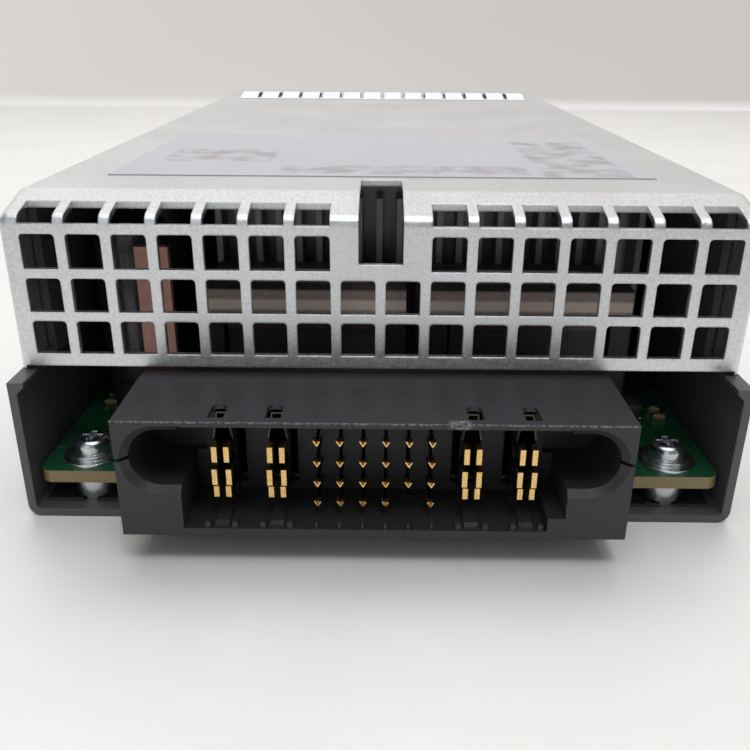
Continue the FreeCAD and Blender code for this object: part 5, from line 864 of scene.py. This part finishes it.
@dataclass
class Board(SubAssembly):
    """Main board, its fixings and the small parts at the open end.

    The chips' spots are millimetres. A chip's `cap` is its tinned end, which
    stands `proud` of the body and reaches `lap` over it.
    """

    chip: tuple[float, float, float] = (1.6 * MM, 0.8 * MM, 0.7 * MM)
    chip_spots: tuple[tuple[float, float], ...] = (
        (-32.0, 15.6), (-30.4, 17.4), (31.2, 15.6), (33.6, 15.8), (38.8, 17.0), (38.8, 19.4),
        (-38.4, 20.2), (-38.4, 22.4))
    solder: float = 0.02 * MM
    cap: float = 0.35 * MM
    lap: float = 0.12 * MM
    proud: float = 1.06
    crisp: float = 0.12
    driver: tuple[float, float] = (34.2 * MM, 19.6 * MM)
    driver_size: tuple[float, float, float] = (4.9 * MM, 3.9 * MM, 1.5 * MM)
    driver_rise: float = 0.95 * MM
    driver_crisp: float = 0.1
    legs: int = 4
    leg: tuple[float, float, float] = (0.42 * MM, 1.4 * MM, 0.4 * MM)
    leg_pitch: float = 1.27 * MM
    leg_reach: float = 2.6 * MM
    leg_rise: float = 0.35 * MM
    leg_crisp: float = 0.2
    dress: dict[str, Finish] = field(default_factory=lambda: {
        "main_board": BOARD, "board_standoffs": BRIGHT, "board_washers": BRIGHT,
        "board_screws": ZINC, "control_card": BOARD, "card_chips": EPOXY})

    def details(self) -> Iterable[Piece]:
        """Chip parts in the two free corners of the board.

        Returns:
            The new pieces.
        """
        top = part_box("main_board")[1].z
        spots = np.array(self.chip_spots) * MM
        level = np.full(len(spots), top + self.chip[2] / 2 + self.solder)
        centres = np.column_stack([spots, level])
        bodies = pillows("chip_bodies", centres, self.chip, self.crisp)
        yield self.add_piece(bodies, CERAMIC_CHIP, "header_plastic")
        cap = (self.cap, self.chip[1] * self.proud, self.chip[2] * self.proud)
        shift = np.array([self.chip[0] / 2 - self.lap, 0, 0])
        ends = pillows("chip_ends", np.concatenate([centres - shift, centres + shift]), cap,
                       self.crisp)
        yield self.add_piece(ends, SOLDER, "bright_steel")
        driver = np.array([[*self.driver, top + self.driver_rise]])
        block = pillows("driver_chip", driver, self.driver_size, self.driver_crisp)
        yield self.add_piece(block, EPOXY, "package_epoxy")
        across = (np.arange(self.legs) - (self.legs - 1) / 2) * self.leg_pitch
        legs = np.array([[self.driver[0] + x, self.driver[1] + y, top + self.leg_rise]
                         for x in across for y in (-self.leg_reach, self.leg_reach)])
        feet = pillows("driver_chip_legs", legs, self.leg, self.leg_crisp)
        yield self.add_piece(feet, SOLDER, "bright_steel")


@dataclass
class OutputConnector(SubAssembly):
    """Dark housing with its gold contacts."""

    dress: dict[str, Finish] = field(default_factory=lambda: {
        "connector_housing": PLUG, "power_contacts": GOLD, "signal_contacts": GOLD})


@dataclass
class FrontEnd(SubAssembly):
    """Mains inlet, lamp, pull handle and release latch.

    `squeeze` is not used.
    The bead and the lamp's dome `sink` a little into what carries them.
    """

    squeeze: float = 1.1
    ribs: int = 7
    rib: tuple[float, float, float] = (0.9 * MM, 0.5 * MM, 3.2 * MM)
    rib_pitch: float = 2.2 * MM
    rib_drop: float = 2.1 * MM
    thumb_ribs: int = 4
    thumb_rib: tuple[float, float, float] = (0.6 * MM, 0.7 * MM, 11.0 * MM)
    thumb_pitch: float = 1.5 * MM
    thumb_inset: float = 3.2 * MM
    thumb_face: float = 40.8 * MM
    soft: float = 0.5
    bead: tuple[float, float] = (0.35 * MM, 0.25 * MM)
    bead_inset: float = 1.1 * MM
    bead_corner: float = 1.6 * MM
    dome: tuple[float, float] = (1.4 * MM, 0.5 * MM)
    dome_steps: int = 8
    sink: float = 0.02 * MM
    dress: dict[str, Finish] = field(default_factory=lambda: {
        "ac_inlet_shell": BLACK_MOULDING, "inlet_pins": NICKEL_BRASS, "status_lamp": LENS,
        "pull_handle": BLACK_MOULDING, "handle_pins": ZINC, "release_latch": LATCH_MOULDING,
        "latch_bracket": ZINC, "latch_pin": ZINC, "latch_spring": SPRING, "inlet_wires": JACKET})

    def details(self) -> Iterable[Piece]:
        """Return spring, grip ribs, the inlet's raised bead and the lamp's dome.

        Returns:
            The new pieces.
        """
        yield self.return_spring()
        yield self.add_piece(self.grip(), BLACK_MOULDING, "black_plastic", Body.HANDLE)
        yield self.add_piece(self.thumb_grip(), LATCH_MOULDING, "latch_plastic", Body.LATCH)
        yield self.add_piece(self.inlet_bead(), BLACK_MOULDING, "black_plastic")
        yield self.add_piece(self.lamp_dome(), LENS, "clear_lens")

    def return_spring(self) -> Piece:
        """Copy of the solid coil, carried by the supply, that stands in for the hidden solid one.

        Returns:
            The new piece.
        """
        joint = next(each for each in frame["joints"] if each["name"] == "latch_press")
        low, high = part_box("latch_spring")
        travel = (high.y - joint["pos_m"][1]) * math.sin(math.radians(max(joint["range_deg"])))
        coil = linked("return_spring", frame["nodes"]["latch_spring"].data.copy())
        self.add_piece(coil, SPRING, "bright_spring")
        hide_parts("latch_spring")
        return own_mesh(coil)

    def grip(self) -> Piece:
        """Row of upright ribs across the pull handle.

        Returns:
            The new piece.
        """
        low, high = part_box("pull_handle")
        middle = (low.x + high.x) / 2
        across = middle + (np.arange(self.ribs) - (self.ribs - 1) / 2) * self.rib_pitch
        centres = np.column_stack([across, np.full(self.ribs, high.y),
                                   np.full(self.ribs, high.z - self.rib_drop)])
        return pillows("handle_grip_ribs", centres, self.rib, self.soft)

    def thumb_grip(self) -> Piece:
        """Upright ribs one behind the other on the latch's thumb face.

        Returns:
            The new piece.
        """
        low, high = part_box("release_latch")
        along = high.y - self.thumb_inset - np.arange(self.thumb_ribs) * self.thumb_pitch
        centres = np.column_stack([np.full(self.thumb_ribs, self.thumb_face), along,
                                   np.full(self.thumb_ribs, (low.z + high.z) / 2)])
        return pillows("latch_thumb_ribs", centres, self.thumb_rib, self.soft)

    def inlet_bead(self) -> Piece:
        """Raised bead that follows the inlet's rim.

        Returns:
            The new piece.
        """
        low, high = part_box("ac_inlet_shell")
        loop = rounded_loop((low.x + self.bead_inset, low.z + self.bead_inset),
                            (high.x - self.bead_inset, high.z - self.bead_inset),
                            self.bead_corner)
        return framed("inlet_bead", loop, *self.bead, high.y - self.sink)

    def lamp_dome(self) -> Piece:
        """Low dome on the lamp: a quarter ellipse turned about +Y.

        Returns:
            The new piece.
        """
        low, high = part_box("status_lamp")
        turn = np.linspace(0, math.pi / 2, self.dome_steps)
        radii = np.concatenate([[0.0], np.cos(turn) * self.dome[0]])
        heights = np.concatenate([[0.0], np.sin(turn) * self.dome[1]]) - self.sink
        centre = ((low.x + high.x) / 2, high.y, (low.z + high.z) / 2)
        return turned("lamp_dome", radii, heights, centre)


@dataclass
class FanUnit(SubAssembly):
    """Cooling fan, its guard and lead. The sticker's profile is in millimetres."""

    sticker_radii: tuple[float, ...] = (0.0, 4.0, 8.3, 8.5, 8.5, 0.0)
    sticker_heights: tuple[float, ...] = (0.11, 0.11, 0.10, 0.07, 0.0, 0.0)
    dress: dict[str, Finish] = field(default_factory=lambda: {
        "fan_frame": FAN_MOULDING, "fan_bearings": BRONZE, "fan_stator": LAMINATION,
        "fan_rotor": FAN_MOULDING, "rotor_magnet": FERRITE, "fan_guard": GUARD_WIRE,
        "fan_screws": ZINC, "fan_plug": NYLON, "fan_lead": JACKET})

    def details(self) -> Iterable[Piece]:
        """Blank round sticker on the motor plate.

        Returns:
            The new pieces.
        """
        low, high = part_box("fan_frame")
        centre = ((low.x + high.x) / 2, high.y, (low.z + high.z) / 2)
        sticker = turned("motor_sticker", np.array(self.sticker_radii) * MM,
                         np.array(self.sticker_heights) * MM, centre)
        yield self.add_piece(sticker, LABEL, "label_paper")


@dataclass
class PowerStage(SubAssembly):
    """Electronics behind the grille and under the cover."""

    dress: dict[str, Finish] = field(default_factory=lambda: {
        "output_busbar": COPPER, "output_choke_cores": FERRITE, "output_choke_bobbins": BOBBIN,
        "output_choke_windings": VARNISH, "secondary_heat_sink": ANODISED,
        "primary_heat_sink": ANODISED, "secondary_devices": EPOXY, "primary_devices": EPOXY,
        "bridge_rectifier": EPOXY, "device_screws": ZINC, "output_capacitors": SLEEVE,
        "bulk_capacitors": SLEEVE, "transformer_core": FERRITE, "transformer_bobbin": NYLON,
        "transformer_winding": TAPE, "boost_choke_core": CORE_COAT, "boost_choke_winding": ENAMEL,
        "choke_cradles": BLACK_MOULDING, "emi_choke_core": CORE_COAT, "emi_choke_winding": ENAMEL,
        "film_capacitor": YELLOW_BOX, "inrush_relay": EPOXY, "mains_fuse": CERAMIC,
        "fuse_clips": NICKEL_BRASS})


# ------------------------------------------------------------------ studio
@dataclass(frozen=True)
class Backdrop(Finish):
    """Pale wall paper that melts into the table at its foot, with painted shade darkening it to the
    right.

    Between the two heights of `glow_lift_span` its glow, which is painted light, grows
    from its own tone to `glow_lift` times that. A faint slanting veil breaks up the
    painted shade from left to right.
    """

    foot: str = "#eceae8"
    # Painted shade: the darker tone towards the right.
    right: str = "#cbc7c3"
    fade: float = 9.0 * MM
    # Painted light: how much stronger the glow grows higher up.
    glow_lift: float = 1.52
    glow_lift_span: tuple[float, float] = (0.08, 0.28)
    half_width: float = 0.35
    shade_ends: tuple[float, float] = (-0.25, 0.75)
    veil: float = 2.2
    veil_share: float = 0.8
    veil_slant: tuple[float, float, float] = (0.0, 0.5, 0.0)
    veil_stretch: tuple[float, float, float] = (1.0, 1.0, 4.0)

    def build(self) -> bpy.types.Material:
        """Same tone to the eye and to polished metal, as a glow that is painted light and brighter
        higher up; plain paper otherwise. Both carry the painted shade to the right.

        Returns:
            The new material.
        """
        made = self.blank()
        tree = made.node_tree
        place = add(tree, "ShaderNodeTexCoord")
        axes = add(tree, "ShaderNodeSeparateXYZ", None, {0: place.outputs["Object"]})
        streak = add(tree, "ShaderNodeMapping",
                     {"Rotation": self.veil_slant, "Scale": self.veil_stretch},
                     {"Vector": place.outputs["Object"]})
        veil = add(tree, "ShaderNodeTexNoise", {"Scale": self.veil, "Detail": 1.0},
                   {"Vector": streak.outputs[0]})
        across = add(tree, "ShaderNodeMapRange",
                     {"From Min": -self.half_width, "From Max": self.half_width,
                      "To Min": self.shade_ends[0], "To Max": self.shade_ends[1]},
                     {"Value": axes.outputs["X"]})
        share = add(tree, "ShaderNodeMath",
                    {"operation": "MULTIPLY_ADD", 1: self.veil_share, "use_clamp": True},
                    {0: veil.outputs["Fac"], 2: across.outputs[0]})
        # Painted shade: darker towards the right, broken up by the veil.
        tone = add(tree, "ShaderNodeMix",
                   {"data_type": "RGBA", UNDER: linear(self.light), OVER: linear(self.right)},
                   {SHARE: share.outputs[0]})
        rise = add(tree, "ShaderNodeMapRange",
                   {"interpolation_type": "SMOOTHSTEP", "From Min": 0.0, "From Max": self.fade,
                    "To Min": 1.0, "To Max": 0.0}, {"Value": axes.outputs["Z"]})
        footed = add(tree, "ShaderNodeMix", {"data_type": "RGBA", OVER: linear(self.foot)},
                     {SHARE: rise.outputs[0], UNDER: tone.outputs[MIXED]})
        colour = footed.outputs[MIXED]
        path = add(tree, "ShaderNodeLightPath")
        seen = add(tree, "ShaderNodeMath", {"operation": "MAXIMUM"},
                   {0: path.outputs["Is Camera Ray"], 1: path.outputs["Is Glossy Ray"]})
        seen = add(tree, "ShaderNodeMath", {"operation": "MAXIMUM"},
                   {0: seen.outputs[0], 1: path.outputs["Is Transmission Ray"]})
        # Painted light: the glow grows stronger higher up.
        height = add(tree, "ShaderNodeMapRange",
                     {"From Min": self.glow_lift_span[0], "From Max": self.glow_lift_span[1],
                      "To Min": 1.0, "To Max": self.glow_lift}, {"Value": axes.outputs["Z"]})
        paper = add(tree, "ShaderNodeBsdfDiffuse", None, {"Color": colour})
        glow = add(tree, "ShaderNodeEmission", None,
                   {"Color": colour, "Strength": height.outputs[0]})
        both = add(tree, "ShaderNodeMixShader", None,
                   {0: seen.outputs[0], 1: paper.outputs[0], 2: glow.outputs[0]})
        add(tree, "ShaderNodeOutputMaterial", None, {"Surface": both.outputs[0]})
        return made


@dataclass
class Studio:
    """Pale table, pale backdrop, soft lamps and the camera.

    The table runs from `near` to the backdrop at `reach`, a hair below the part.
    """

    table: str = "#eeebe7"
    fleck: str = "#e6e3df"
    wall: str = "#e1deda"
    daylight: str = "#fafcff"
    air: str = "#eceef0"
    air_strength: float = 0.32
    half_width: float = 2.5
    near: float = -1.5
    reach: float = 0.55
    foot: float = -0.001
    height: float = 1.3
    drop: float = 0.01 * MM
    eye: tuple[float, float, float] = (0.0, -86.1 * MM, 56.0 * MM)
    tilt: tuple[float, float, float] = (66.92, -0.376, 0.524)
    lens: float = 39.39
    film: float = 36.0
    nearest: float = 0.002

    def make(self) -> None:
        """Build the stage, the light and the camera."""
        top = Finish("table_laminate", self.table, self.fleck, roughness=0.42, swing=0.04,
                     grain=45.0, relief=0.0, edge=0.01)
        self.sheet("table_top", ((-self.half_width, self.near), (self.half_width, self.reach)),
                   False, top)
        self.sheet("backdrop", ((-self.half_width, self.foot), (self.half_width, self.height)),
                   True, Backdrop("wall_paper", self.wall, self.wall))
        self.lamp("overhead_softbox", spot=(0.0, -0.02, 0.80), aim=(0.0, 0.0, 0.0), size=0.9,
                  power=3.4)
        self.lamp("back_softbox", spot=(0.0, 0.46, 0.55), aim=(-40.0, 0.0, 0.0), size=0.8,
                  power=4.2, mirrored=False)
        self.lamp("key_lamp", spot=(0.10, -0.34, 1.0), aim=(18.8, 0.0, 5.0), size=0.20, power=1.6)
        self.lamp("front_fill", spot=(-0.35, -0.88, 0.40), aim=(67.0, 0.0, -21.7), size=0.7,
                  power=0.7)
        world = bpy.data.worlds.new("studio_air")
        bpy.context.scene.world = world
        world.use_nodes = True
        shade = world.node_tree.nodes["Background"]
        shade.inputs[0].default_value = linear(self.air)
        shade.inputs[1].default_value = self.air_strength
        view = bpy.data.cameras.new("eye")
        view.lens, view.sensor_width, view.clip_start = self.lens, self.film, self.nearest
        holder = linked("eye", view)
        holder.location = self.eye
        holder.rotation_euler = [math.radians(angle) for angle in self.tilt]
        bpy.context.scene.camera = holder
        bpy.context.scene.view_settings.view_transform = "Standard"

    def sheet(self, name: str, spread: tuple, upright: bool, finish: Finish) -> None:
        """Flat stage sheet, lying or standing at the back of the table.

        Args:
            name: Name of the sheet.
            spread: Low and high corners in its own plane.
            upright: True for the backdrop.
            finish: Its finish.
        """
        (a, b), (c, d) = spread
        flat = np.array([[a, b], [c, b], [c, d], [a, d]])
        depth = np.full(4, self.reach if upright else -self.drop)
        points = np.column_stack([flat[:, 0], depth, flat[:, 1]] if upright
                                 else [flat[:, 0], flat[:, 1], depth])
        mesh = bpy.data.meshes.new(name)
        mesh.from_pydata(points.tolist(), [], [[0, 1, 2, 3]])
        made = linked(name, mesh)
        made.data.materials.append(finish.material())

    def lamp(self, name: str, spot: Sequence[float], aim: Sequence[float], size: float,
             power: float, mirrored: bool = True) -> None:
        """Square soft lamp.

        Args:
            name: Name of the lamp.
            spot: Position.
            aim: Rotation in degrees; none points straight down.
            size: Side of the square.
            power: Watts.
            mirrored: Whether polished metal shows the lamp itself.
        """
        light = bpy.data.lights.new(name, "AREA")
        light.size, light.energy = size, power
        light.color = linear(self.daylight)[:3]
        holder = linked(name, light)
        holder.location = spot
        holder.rotation_euler = [math.radians(angle) for angle in aim]
        holder.visible_glossy = mirrored


def main() -> None:
    """Build the studio and every sub-assembly."""
    logging.basicConfig(level=logging.INFO, format="%(name)s: %(message)s")
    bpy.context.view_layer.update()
    for part in (Studio(), Case(), Board(), OutputConnector(), FrontEnd(), FanUnit(), PowerStage()):
        part.make()


if __name__ == "__main__":
    main()
